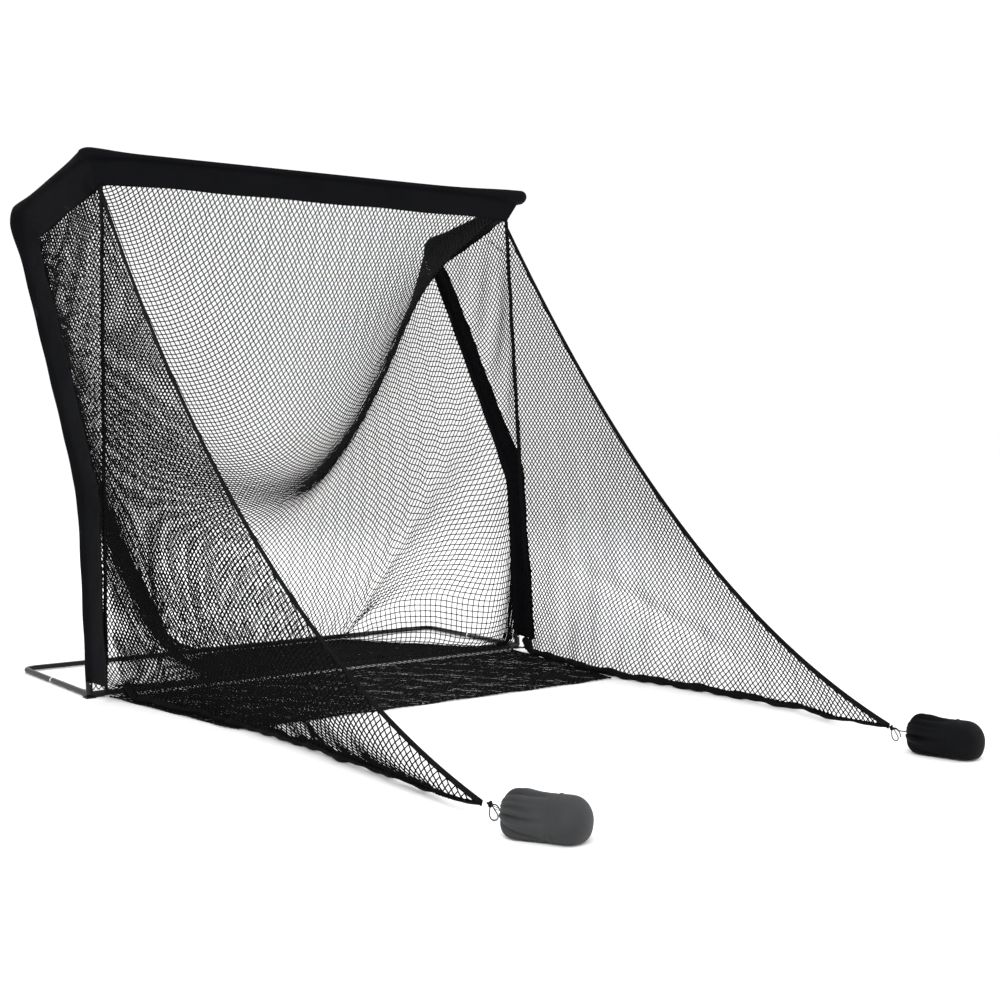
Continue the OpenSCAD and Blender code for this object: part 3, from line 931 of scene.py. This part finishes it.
@dataclass
class BackNet:
    """One rectangular sheet of netting that hangs in the frame and runs to the front bar."""

    palette: Palette
    width: float = 3.00
    length: float = 3.40
    columns: int = 61
    rows: int = 89
    steps: int = 200
    passes: int = 10
    bar_row: float = 2.55
    held: tuple = (-0.35, 0.55)
    closed: float = 1.25
    full: tuple = (0.7, 0.2, 0.7)
    side_x: tuple = (1.205, 1.215)
    half: float = 1.21
    side_share: float = 2.5

    def hang(self) -> np.ndarray:
        """The sheet hung by its laced edges and let down under its weight.

        Returns:
            Points, columns by rows by 3.
        """
        y, z = LAYOUT.bar
        rear_y, rear_z = LAYOUT.rear_bar
        n, m = self.columns, self.rows
        near, far = self.side_x
        knee = LAYOUT.knee
        edges = [along(np.array([(s * near, y, z - 0.015), (s * far, 0.883, 2.255),
                                 (s * far, *knee), (s * far, 0, 0.05)]), m) for s in (-1, 1)]
        middle = along(np.array([(0, y, z - 0.015), (0, rear_y - 0.012, rear_z + 0.005),
                                 (0, 0.02, 0.03)]), m)
        u = np.linspace(-1, 1, n)
        pull = (np.abs(u) ** self.side_share)[:, None, None]
        side = np.where((u < 0)[:, None, None], edges[0][None], edges[1][None])
        x = middle[None] * (1 - pull) + side * pull
        x[..., 0] = u[:, None] * self.half
        pin = np.zeros((n, m), bool)
        pin[:, [0, -1]] = True
        pin[[0, -1]] = True
        bar = int(round(self.bar_row / self.length * (m - 1)))
        on_bar = (u > self.held[0]) & (u < self.held[1])
        x[on_bar, bar] = np.stack([u[on_bar] * self.half, np.full(on_bar.sum(), rear_y),
                                   np.full(on_bar.sum(), rear_z)], 1)
        pin[on_bar, bar] = True
        x[:, -1] = np.stack([u * near, np.full(n, 0.02), np.full(n, 0.03)], 1)
        return self.settle(x, pin)

    def settle(self, x: np.ndarray, pin: np.ndarray) -> np.ndarray:
        """Lets a held sheet fall until its threads carry it.

        Args:
            x: Starting points, columns by rows by 3.
            pin: True where the sheet is held.

        Returns:
            The points at rest.
        """
        a, b = self.width / (self.columns - 1), self.length / (self.rows - 1)
        # Netting carries load along its diagonal threads; a mesh can only close so far
        links = [((1, 1), math.hypot(a, b)), ((1, -1), math.hypot(a, b)),
                 ((1, 0), a * self.closed), ((0, 1), b * self.closed)]
        cut = self.fullness()
        free = (~pin).astype(float)[..., None]
        speed = np.zeros_like(x)
        gravity, step, drag, floor, stiffness = 9.81, 0.016, 0.97, 0.006, 0.11
        steps = self.steps
        for _ in range(steps):
            before = x.copy()
            speed[..., 2] -= gravity * step * free[..., 0]
            x = x + speed * step * free
            for _ in range(self.passes):
                for (di, dj), rest in links:
                    for parity in (0, 1):
                        self.pull(x, free, di, dj, rest * cut, parity)
                x[..., 2] = np.maximum(x[..., 2], floor)
            even = x.copy()
            even[1:-1, 1:-1] = (x[:-2, 1:-1] + x[2:, 1:-1] + x[1:-1, :-2] + x[1:-1, 2:]) / 4
            x = x + (even - x) * stiffness * free
            speed = (x - before) / step * drag
        return x

    def fullness(self) -> np.ndarray:
        """How much larger the sheet is cut beside the rear bar's right end.

        Returns:
            A factor for each column and row.
        """
        amount, start, reach = self.full
        u = np.linspace(-1, 1, self.columns)[:, None]
        v = np.linspace(0, self.length, self.rows)[None]
        return 1 + amount * ease(u, start, 1.0) * np.exp(-((v - self.bar_row) / reach) ** 2)

    @staticmethod
    def pull(x: np.ndarray, free: np.ndarray, di: int, dj: int, rest: np.ndarray,
             parity: int) -> None:
        """Shortens every second thread of one direction that is longer than it was cut.

        Args:
            x: The sheet's points, changed in place.
            free: 1 where a point may move and 0 where it is held.
            di: Columns that the thread crosses.
            dj: Rows that the thread crosses.
            rest: The threads' cut length at each point.
            parity: Which half of the threads to treat.
        """
        n, m = x.shape[:2]
        if di:
            ia, ib = slice(parity, n - 1, 2), slice(parity + 1, n, 2)
        else:
            ia = ib = slice(None)
        if dj == 0:
            ja = jb = slice(None)
        elif di == 0:
            ja, jb = slice(parity, m - 1, 2), slice(parity + 1, m, 2)
        else:
            ja, jb = (slice(0, m - 1), slice(1, m)) if dj > 0 else (slice(1, m), slice(0, m - 1))
        p, q = x[ia, ja], x[ib, jb]
        k = min(p.shape[0], q.shape[0])
        l = min(p.shape[1], q.shape[1])
        p, q = p[:k, :l], q[:k, :l]
        wp, wq = free[ia, ja][:k, :l], free[ib, jb][:k, :l]
        gap = q - p
        long = np.linalg.norm(gap, axis=-1, keepdims=True) + 1e-9
        cut = (rest[ia, ja][:k, :l] + rest[ib, jb][:k, :l])[..., None] / 2
        share = np.maximum(long - cut, 0) / (wp + wq + 1e-9) * gap / long
        p += wp * share
        q -= wq * share

    def build(self) -> None:
        """Makes the sheet as an upper and a lower piece of the same netting."""
        half = Netting().mesh / 2
        sheet = self.hang()
        cols = int(round(self.width / half)) + 1
        rows = int(round(self.length / half)) + 1
        fine = resample(resample(sheet, cols, 0), rows, 1)
        split = rows // 2
        split -= split % 2
        for name, first, last in (("back_net_upper", 0, split), ("back_net_lower", split, rows - 1)):
            part = fine[:, first:last + 1]

            def place(a: np.ndarray, b: np.ndarray, part: np.ndarray = part) -> np.ndarray:
                """Finds each flat position on the hung sheet.

                Args:
                    a: Distance across the cut.
                    b: Distance down the cut.
                    part: The piece of the hung sheet.

                Returns:
                    The points.
                """
                i = np.clip(np.round(a / half).astype(int), 0, part.shape[0] - 1)
                j = np.clip(np.round(b / half).astype(int), 0, part.shape[1] - 1)
                return part[i, j]

            size = ((cols - 1) * half, (last - first) * half)
            piece = Netting().weave(name, place, size, self.palette["net_twine"], seed=3 + first)
            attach(piece, "frame")
            if first == 0:
                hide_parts("back_net")
            LOG.info("%s: %.2f x %.2f m", name, *size)


# ---- side nets, seams and apron ------------------------------------------------------

@dataclass
class SideNet:
    """The triangle between an arm, an upright and the seam, with the seam's webbing."""

    palette: Palette
    side: Side
    top: tuple = (1.133, -0.015, 2.312)
    back: tuple = (1.172, 0.740, 2.190)
    foot: tuple = (1.188, -0.098, 0.900)
    seam_foot: tuple = (1.200, -0.148, 0.034)
    turning: float = 0.0288
    belly: float = 0.035
    sag: float = 0.05
    seam_points: int = 90
    strap: tuple = (0.024, 0.0085)

    def net(self) -> bpy.types.Object:
        """The triangular net.

        Returns:
            The net.
        """
        s = self.side.value
        a, b, c = (np.array(p) for p in (self.top, self.back, self.foot))
        low = np.array([c[1] - 0.05, c[2] - 0.10])
        size = (b[1] - low[0] + 0.05, a[2] - low[1] + 0.03)
        tri = np.array([a[1:], b[1:], c[1:]])
        middle = tri.mean(0)
        tri = tri + unit(tri - middle) * self.turning
        inv = np.linalg.inv(np.vstack([np.array([a[1:], b[1:], c[1:]]).T, np.ones(3)]))
        xs = np.array([a[0], b[0], c[0]])

        def place(u: np.ndarray, v: np.ndarray) -> np.ndarray:
            """Finds each flat position on the hanging triangle.

            Args:
                u: Distance to the back.
                v: Distance up.

            Returns:
                The points.
            """
            y, z = low[0] + u, low[1] + v
            weights = np.einsum("ij,j...->i...", inv, np.stack([y, z, np.ones_like(y)]))
            x = np.einsum("i,i...->...", xs, weights)
            belly = np.prod(np.clip(weights, 0, 1), axis=0) * 27
            x = x + self.belly * belly + 0.006 * np.sin(y * 26 + z * 9) * belly
            back = np.clip((y - tri[:, 0].min()) / 0.7, 0, 1)
            z = z - self.sag * belly * np.sin(back * np.pi)
            return np.stack([s * x, y, z], -1)

        def keep(u: np.ndarray, v: np.ndarray) -> np.ndarray:
            """Tells which flat positions are inside the triangle.

            Args:
                u: Distance to the back.
                v: Distance up.

            Returns:
                True inside.
            """
            p = np.stack([low[0] + u, low[1] + v], -1)
            inside = np.ones(u.shape, bool)
            for k in range(3):
                e, f = tri[k], tri[(k + 1) % 3]
                way, reach = f - e, p - e
                inside &= way[0] * reach[..., 1] - way[1] * reach[..., 0] <= 0
            return inside

        piece = Netting().weave(f"triangle_net_{self.side.word}", place, size,
                                self.palette["net_twine"], keep, seed=20 + s)
        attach(piece, "frame")
        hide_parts(f"side_net_{self.side.word}")
        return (piece, f"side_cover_{self.side.word}")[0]

    def seam(self) -> bpy.types.Object:
        """The taut webbing where the barrier's net is sewn on.

        Returns:
            The webbing.
        """
        hand = np.array([self.side.value, 1, 1])
        line = along(np.array([self.top, self.seam_foot]) * hand, self.seam_points)
        t = np.linspace(0, 1, self.seam_points)
        line[:, 1] += 0.004 * np.sin(np.pi * t) + 0.0012 * np.sin(t * 60)
        line[:, 0] += self.side.value * 0.0015 * np.sin(t * 47)
        piece = sweep(f"seam_strap_{self.side.word}", line, band(*self.strap), self.palette["webbing"],
                      ups=np.repeat([[1.0, 0.25, 0]], self.seam_points, 0))
        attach(piece, "frame")
        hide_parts(f"seam_webbing_{self.side.word}")
        return piece


@dataclass
class Apron:
    """The floor net in front of the front bar, with its corded hem."""

    palette: Palette
    neck: float = 1.14
    half: float = 1.005
    reach: float = 1.04
    cord: float = 0.0035
    cord_points: int = 420
    strand: float = 0.0027
    lift: float = 0.0072
    ripple: float = 0.0018

    def edge(self, y: np.ndarray) -> np.ndarray:
        """Half of the apron's width at a distance in front of the feet."""
        return self.neck + (self.half - self.neck) * np.clip((-y - 0.08) / (self.reach - 0.08), 0, 1)

    def lie(self, x: np.ndarray, y: np.ndarray) -> np.ndarray:
        """Height of the apron, with the low ripples that it lies in.

        Args:
            x: Distance to the right.
            y: Distance to the back.

        Returns:
            The height at each place.
        """
        ripple = (np.sin(x * 9 + 3 * np.sin(y * 4)) * np.sin(y * 13 + 2 * x)
                  + 0.5 * np.sin(x * 31 + y * 23))
        on_bar = 0.024 * (1 - ease(-y, 0.0, 0.10))
        loose = ease(-y, 0.05, 0.3) * (1 - ease(-y, self.reach - 0.1, self.reach))
        return self.lift + self.ripple * ripple * loose + on_bar

    def build(self) -> None:
        """Lays the apron and its cord."""
        size = (2 * self.neck, self.reach + 0.0125)

        def place(a: np.ndarray, b: np.ndarray) -> np.ndarray:
            """Finds each flat position on the laid net.

            Args:
                a: Distance across the cut.
                b: Distance down the cut.

            Returns:
                The points.
            """
            y = 0.005 - b
            x = (a - self.neck) * self.edge(y) / self.neck
            drift = 0.008 * np.sin(x * 7 + y * 3) * ease(-y, 0.1, 0.5)
            return np.stack([x, y + drift, self.lie(x, y)], -1)

        piece = Netting(strand=self.strand).weave("apron_net", place, size,
                                                  self.palette["net_twine"], seed=40)
        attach(piece, "frame")
        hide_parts("floor_net")
        front, outside = -self.reach - 0.006, 0.004
        line = [(-self.neck - outside, -0.05, 0.006), (-self.half - outside, 0.04 - self.reach, 0.004),
                (0.05 - self.half, front, 0.004), (0, front, 0.004)]
        line += [(-x, y, z) for x, y, z in line[-2::-1]]
        path = smooth_line(along(np.array(line), 26), self.cord_points)
        k = np.arange(self.cord_points)
        path[:, 2] = 0.0042 + 0.0016 * (1 + np.sin(k * 0.21))
        path[:, 1] += 0.004 * np.sin(path[:, 0] * 8) * (path[:, 1] < -0.9)
        lumps = 1 + 0.18 * np.sin(k * 1.7) + 0.1 * np.sin(k * 0.37)
        hem = sweep("apron_cord", path, circle(self.cord, 8), self.palette["hem_cord"], lumps)
        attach(hem, "frame")
        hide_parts("apron_hem")
        LOG.info("apron: %.2f x %.2f m", *size)


# ---- side barriers ----------------------------------------------------------------------

@dataclass
class Barrier:
    """One side barrier: its net, its hems and the knot at its tip."""

    palette: Palette
    side: Side
    height: float = 2.30
    tip_height: float = 0.052
    sag: float = 0.36
    length: float = 2.733
    gather: float = 0.10
    bend: tuple = (-0.060, -0.420)
    seam_x: tuple = (1.205, 1.133)
    seam_foot: float = 0.148
    seam_lean: float = 0.133
    least: float = 0.03
    hem_points: int = 160
    foot_points: int = 260
    knot_points: int = 90
    knot_scale: float = 0.0029
    knot_radius: float = 0.0036

    @property
    def word(self) -> str:
        """The side's word in the names of pieces."""
        return self.side.word

    def hem_height(self, s: np.ndarray) -> np.ndarray:
        """Height of the upper edge.

        Args:
            s: Distance in front of the feet.

        Returns:
            The height at each distance.
        """
        t = np.clip(s / self.length, 0, 1)
        return self.height + (self.tip_height - self.height) * t - 4 * self.sag * t * (1 - t)

    def bow(self, s: np.ndarray) -> np.ndarray:
        """How far the lower edge lies inwards of the straight line to the tip.

        Args:
            s: Distance in front of the feet.

        Returns:
            The distance inwards.
        """
        if self.side is Side.LEFT:
            knots = ((0.0, 0.03), (0.15, 0.10), (0.7, 0.17), (1.42, 0.18), (2.32, 0.11), (2.73, 0.0))
        else:
            knots = ((0.0, 0.03), (0.15, 0.05), (0.34, 0.075), (0.93, 0.115), (1.25, 0.06), (1.55, -0.012),
                     (2.12, -0.095), (2.73, 0.0))
        at, out = zip(*knots)
        return np.interp(s, at, out)

    def point(self, s: np.ndarray, z: np.ndarray) -> np.ndarray:
        """Point of the barrier at a distance from the feet and a height.

        Args:
            s: Distance in front of the feet.
            z: Height above the ground.

        Returns:
            Points with X, Y, Z on the last axis.
        """
        k = np.clip(z / self.height, 0, 1)
        low, high = self.seam_x
        root = low + (high - low) * k
        y_root = -self.seam_foot + self.seam_lean * k
        t = np.clip((s + y_root) / (self.length + y_root), 0, 1)
        x = root + (LAYOUT.tip[0] - root) * t
        top = np.maximum(self.hem_height(s), 0.02)
        h = np.clip(z / top, 0, 1)
        inwards = self.bow(s) * (1 - h) ** 2.2 * (0.35 + 0.65 * np.exp(-z / 0.5))
        billow = 0.05 * np.sin(np.pi * h) * np.sin(np.pi * np.clip(s / self.length, 0, 1)) ** 0.7
        ripple = (0.005 * np.sin(s * 15 - z * 4) + 0.003 * np.sin(s * 33 + z * 11)) * (1 - h) ** 1.2
        ripple = ripple * ease(s, 0.15, 0.5) * (1 - ease(s, 2.3, 2.7))
        fold = np.zeros_like(x)
        if self.side is Side.RIGHT:
            line = z - 0.42 + 0.26 * (s - 0.85)
            fold = 0.030 * np.exp(-(line / 0.05) ** 2) * np.exp(-((s - 1.2) / 0.55) ** 2)
        return np.stack([self.side.value * (x - inwards + billow + ripple + fold), -s, z], -1)

    def net(self) -> bpy.types.Object:
        """The triangular net, with the extra length that piles up at the ground.

        Returns:
            The net.
        """
        size = (self.length, self.height + self.gather)

        def spots(a: np.ndarray, b: np.ndarray) -> tuple:
            """Turns flat positions into distances and heights.

            Args:
                a: Distance along the cut.
                b: Distance up the cut.

            Returns:
                The distance in front of the feet and the height.
            """
            z = b - self.gather
            s = 0.015 + a * (self.length - 0.015) / self.length
            return s, z

        def place(a: np.ndarray, b: np.ndarray) -> np.ndarray:
            """Finds each flat position on the hanging net.

            Args:
                a: Distance along the cut.
                b: Distance up the cut.

            Returns:
                The points.
            """
            s, z = spots(a, b)
            low = np.clip(0.035 - z, 0, None)
            lift = np.maximum(z, 0.012 + 0.010 * (1 + np.sin(low * 210 + s * 9)))
            lift = np.maximum(lift, 0.022 + (self.tip_height - 0.024) * ease(s, 2.35, 2.73))
            lift = np.where(s > 2.2, np.minimum(lift, np.maximum(self.hem_height(s), self.least)), lift)
            p = self.point(s, lift)
            p[..., 0] += self.side.value * np.where(z < 0.03, 0.008 * np.sin(low * 120 + s * 17), 0)
            return p

        def keep(a: np.ndarray, b: np.ndarray) -> np.ndarray:
            """Tells which flat positions are below the hem and in front of the seam.

            Args:
                a: Distance along the cut.
                b: Distance up the cut.

            Returns:
                True where the net is kept.
            """
            s, z = spots(a, b)
            seam = self.seam_foot - self.seam_lean * np.clip(z / self.height, 0, 1)
            reach = np.maximum(self.hem_height(s), self.least)
            pile = self.gather * np.clip((self.length - s) / 0.5, 0, 1)
            return (z <= reach) & (s >= seam - 0.012) & (z >= -pile)

        piece = Netting().weave(f"wing_net_{self.word}", place, size, self.palette["net_twine"], keep,
                                seed=60 + self.side.value)
        s = np.linspace(0.09, self.length, 400)
        area = float(np.trapz(np.maximum(self.hem_height(s), self.least) + self.gather * 0.9, s))
        f"barrier_{self.word}"
        self.spot(self.bend[0])
        self.spot(self.bend[1])
        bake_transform(piece)
        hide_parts(f"barrier_net_{self.word}")
        f"seam_strap_{self.word}"
        LOG.info("wing net %s: %.2f m2 cut", self.word, area)
        return piece

    def spot(self, y: float) -> tuple:
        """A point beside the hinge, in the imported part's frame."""
        return tuple(LAYOUT.row(np.array([self.side.value * LAYOUT.hinge[0], y, 0.0])))

    def hems(self) -> None:
        """The webbing along the upper edge and the gathered edge on the ground."""
        s = np.linspace(0.018, self.length, self.hem_points)
        line = self.point(s, self.hem_height(s))
        ups = np.repeat([[1.0, 0.0, 0.0]], len(line), 0)
        hem = sweep(f"wing_hem_{self.word}", line, band(0.025, 0.0065), self.palette["webbing"], ups=ups)
        s = np.linspace(0.155, self.length - 0.012, self.foot_points)
        ground = self.point(s, np.full_like(s, 0.018))
        ground[:, 2] = 0.019 + 0.003 * np.sin(s * 21) + 0.050 * (1 - ease(s, 0.155, 0.24))
        ground[:, 2] += (self.tip_height - 0.024) * ease(s, 2.35, 2.73)
        k = np.arange(len(s))
        lumps = 1.10 + 0.13 * np.sin(k * 0.55) + 0.12 * np.sin(k * 0.23 + 1)
        lumps = lumps * (1 - 0.60 * ease(s, 1.6, 2.7))
        foot = sweep(f"wing_foot_hem_{self.word}", ground, circle(0.0155, 12), self.palette["hem_cord"],
                     lumps)
        for piece, node, slot in ((hem, "barrier_hem", "webbing"), (foot, "floor_hem", "hem_cord")):
            f"barrier_{self.word}"
            self.spot(self.bend[0])
            self.spot(self.bend[1])
            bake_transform(piece)
            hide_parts(f"{node}_{self.word}")

    def knot(self) -> bpy.types.Object:
        """The overhand knot at the tip.

        Returns:
            The knot.
        """
        t = np.linspace(0, 2 * np.pi, self.knot_points)
        x = np.sin(t) + 2 * np.sin(2 * t)
        y = np.cos(t) - 2 * np.cos(2 * t)
        z = -np.sin(3 * t)
        line = np.stack([x, y, z * 1.1], 1) * self.knot_scale
        line = line @ np.array([[1, 0, 0], [0, 0.6, 0.8], [0, -0.8, 0.6]])
        line += np.array(LAYOUT.knot) * [self.side.value, 1, 1]
        piece = sweep(f"tip_lashing_{self.word}", line, circle(self.knot_radius, 8),
                      self.palette["tie_cord"])
        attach(piece, f"barrier_{self.word}")
        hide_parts(f"tip_knot_{self.word}")
        return piece


@dataclass
class Sandbag:
    """A gathered cloth bag of sand that holds a barrier's tip."""

    palette: Palette
    side: Side
    neck: tuple
    turn: float
    length: float = 0.297
    radius: float = 0.0775
    mouth: float = 0.012
    cap: float = 0.64
    rise: float = 0.070
    corners: int = 96
    draw_thick: float = 0.0024
    loop_thick: float = 0.0042
    tail_thick: float = 0.0046

    def radius_at(self, t: np.ndarray) -> np.ndarray:
        """The bag's radius along its length, from the mouth to the closed end.

        Args:
            t: Share of the length.

        Returns:
            The radius at each share.
        """
        shoulder = np.sqrt(np.clip(1 - (1 - np.clip(t / 0.32, 0, 1)) ** 2.2, 0, 1))
        r = self.mouth + (self.radius - self.mouth) * shoulder
        end = np.sqrt(np.clip(1 - ((np.clip(t, 0.74, 1) - 0.74) / 0.26) ** 2.6, 0, 1))
        return r * end

    def build(self) -> bpy.types.Object:
        """The filled bag.

        Returns:
            The bag.
        """
        t = np.concatenate([np.linspace(0, 0.12, 10, endpoint=False),
                            np.linspace(0.12, 0.9, 30, endpoint=False),
                            1 - 0.1 * np.linspace(1, 0, 14) ** 2.0])
        a = np.arange(self.corners) * 2 * np.pi / self.corners
        tt, aa = np.meshgrid(t, a, indexing="ij")
        r = self.radius_at(tt)
        rng = np.random.default_rng(7 + self.side.value)
        pleats = np.zeros_like(tt)
        for n, strong in ((17, 1.0), (11, 0.8), (26, 0.5), (7, 0.5)):
            shift = rng.uniform(0, 6.28)
            pleats += strong * np.sin(n * aa + shift + 1.5 * tt * rng.uniform(-1, 1))
        folded = np.exp(-((tt - 0.10) / 0.22) ** 2) * 0.075 + 0.026 * (1 - ease(tt, 0.42, self.cap))
        r = r * (1 + pleats * folded)
        ridge = 0.0026 * np.exp(-((tt - self.cap) / 0.010) ** 2)
        groove = 0.0022 * np.exp(-((tt - self.cap + 0.022) / 0.012) ** 2)
        r = r + ridge - groove
        r = r * (1 + 0.018 * np.sin(3 * aa + 5 * tt) + 0.012 * np.sin(5 * aa - 7 * tt + 1))
        along_axis = tt * self.length
        across, up = r * np.cos(aa), r * np.sin(aa)
        across = across * 1.03
        # The mouth is drawn up to the cord, and the belly rests on the ground
        height = self.rise + up - 0.006 * ease(tt, 0.1, 0.4)
        low = 0.004
        squash = np.clip(0.022 - height, 0, None)
        height = np.maximum(height, low + 0.012 * np.exp(-squash / 0.012) * (height < 0.02))
        across = across * (1 + 0.05 * ease(0.08 - height, 0, 0.08))
        swing = math.radians(self.turn)
        way = np.array([math.sin(swing), -math.cos(swing), 0])
        cross = np.array([math.cos(swing), math.sin(swing), 0])
        points = (np.array([self.neck[0], self.neck[1], 0]) + along_axis[..., None] * way
                  + across[..., None] * cross + height[..., None] * np.array([0, 0, 1.0]))
        v = np.linspace(0, 2 * math.pi * self.radius, self.corners + 1)
        verts, faces, uv = loft(points, t * self.length, v)
        # The right bag takes the darker copy of the fabric, which is painted shade; the left bag takes the
        # lighter copy, which is painted light.
        shade = "bag_fabric" if self.side is Side.LEFT else "bag_fabric_dark"
        piece = make_mesh(f"sand_bag_{self.side.word}", verts, faces, self.palette[shade], uv)
        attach(piece, f"sandbag_{self.side.word}")
        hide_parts(f"sandbag_{self.side.word}", f"sand_fill_{self.side.word}")
        return piece

    def ties(self) -> None:
        """The drawstring to the barrier's knot, the loop that hangs from it and its tail."""
        s, word = self.side.value, self.side.word
        knot = np.array(LAYOUT.knot) * [s, 1, 1]
        mouth = np.array([self.neck[0], self.neck[1], self.rise])
        body = f"sandbag_{word}"
        way = unit(mouth - knot)
        cross = unit(np.cross(way, [0, 0, 1.0]))
        for number, spread in ((1, 1), (2, -1)):
            ends = [knot + way * 0.006, (knot + mouth) / 2 + cross * 0.006 * spread - [0, 0, 0.004],
                    mouth + cross * 0.009 * spread + way * 0.004]
            line = smooth_line(np.array(ends), 24)
            self.cord(f"draw_cord_{number}_{word}", line, self.draw_thick, body, "object", "taut",
                      f"bag_tie_{word}" if number == 1 else "")
        drop = np.array([(0, 0, 0), (0.006, -0.004, -0.012), (0.016, -0.010, -0.032),
                         (0.013, -0.014, -0.045), (-0.004, -0.012, -0.046), (-0.012, -0.006, -0.034),
                         (-0.006, 0.002, -0.016), (-0.003, 0.004, -0.006)]) + [0, -0.009, -0.001]
        self.cord(f"tie_loop_{word}", smooth_line(knot + drop, 40), self.loop_thick, body, "object",
                  "hanging", "")
        tail = np.array([(0.004, -0.004, 0.0), (0.016, -0.014, -0.004), (0.024, -0.022, -0.020),
                         (0.027, -0.026, -0.038)])
        self.cord(f"tie_tail_{word}", smooth_line(knot + tail, 24), self.tail_thick, body, "bare",
                  "hanging", "")

    def cord(self, name: str, line: np.ndarray, thick: float, body: str, far: str, lay: str,
             node: str) -> None:
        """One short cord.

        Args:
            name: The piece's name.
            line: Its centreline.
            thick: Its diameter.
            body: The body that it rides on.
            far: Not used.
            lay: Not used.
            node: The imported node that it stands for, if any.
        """
        piece = sweep(name, line, circle(thick / 2, 8), self.palette["tie_cord"])
        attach(piece, body)
        if node:
            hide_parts(node)
        run = run_length(line)
        exit_point = LAYOUT.row(line[0])
        LAYOUT.row(line).tolist()
        LOG.info("%s: %.3f m", name, run)


@dataclass
class TopTies:
    """Elastic cords from the arm covers to the tops of the seams."""

    palette: Palette
    arm: tuple = (1.205, 0.236, 2.236)
    seam: tuple = (1.150, -0.040, 2.120)
    thick: float = 0.005

    def build(self) -> None:
        """Ties both sides."""
        for side in Side:
            hand = np.array([side.value, 1, 1])
            ends = np.array([self.arm, self.seam]) * hand
            middle = ends.mean(0) - [0, 0, 0.006]
            line = smooth_line(np.array([ends[0], middle, ends[1]]), 30)
            piece = sweep(f"top_tie_{side.word}", line, circle(self.thick / 2, 8), self.palette["tie_cord"])
            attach(piece, "frame")
            if side is Side.LEFT:
                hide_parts("top_ties")
            run = run_length(line)
            tuple(LAYOUT.row(line[0]))
            LAYOUT.row(line).tolist()
            LOG.info("top tie %s: %.3f m", side.word, run)


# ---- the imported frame's own nodes -------------------------------------------------------

@dataclass
class Frame:
    """The tubes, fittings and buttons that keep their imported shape."""

    palette: Palette
    shiny: tuple = ("button", "collar")

    def dress(self) -> None:
        """Gives each node that still shows its finish."""
        for name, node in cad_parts.items():
            finish = "black_paint"
            if "spring" in name:
                finish = "spring_steel"
            elif any(word in name for word in self.shiny):
                finish = "plated_steel"
            elif "spigot" in name:
                finish = "bare_steel"
            elif "fill" in name:
                finish = "sand"
            elif node.hide_render:
                finish = "net_twine"
            if not node.material_slots:
                node.data.materials.append(self.palette[finish])
            for slot in node.material_slots:
                slot.material = self.palette[finish]
            if not node.hide_render:
                LOG.info("%s: %s", name, finish)


def main() -> None:
    """Builds every sub-assembly in order."""
    logging.basicConfig(level=logging.INFO, format="%(message)s")
    studio = Studio()
    studio.camera()
    palette = Palette()
    TopTies(palette).build()
    bags = (Sandbag(palette, Side.LEFT, (-1.040, -2.900), 27.0),
            Sandbag(palette, Side.RIGHT, (0.905, -2.905), 13.0))
    for bag in bags:
        bag.ties()
    for bag in bags:
        LOG.info("piece %s", bag.build().name)
    covers = Covers(palette)
    LOG.info("piece %s", covers.crossbar().name)
    for side in Side:
        LOG.info("piece %s", covers.side(side).name)
    BackNet(palette).build()
    for side in Side:
        panel = SideNet(palette, side)
        LOG.info("piece %s", panel.net().name)
        LOG.info("piece %s", panel.seam().name)
    Apron(palette).build()
    for side in Side:
        barrier = Barrier(palette, side)
        barrier.net()
        barrier.hems()
        LOG.info("piece %s", barrier.knot().name)
    Frame(palette).dress()
    studio.room()


if __name__ == "__main__":
    main()
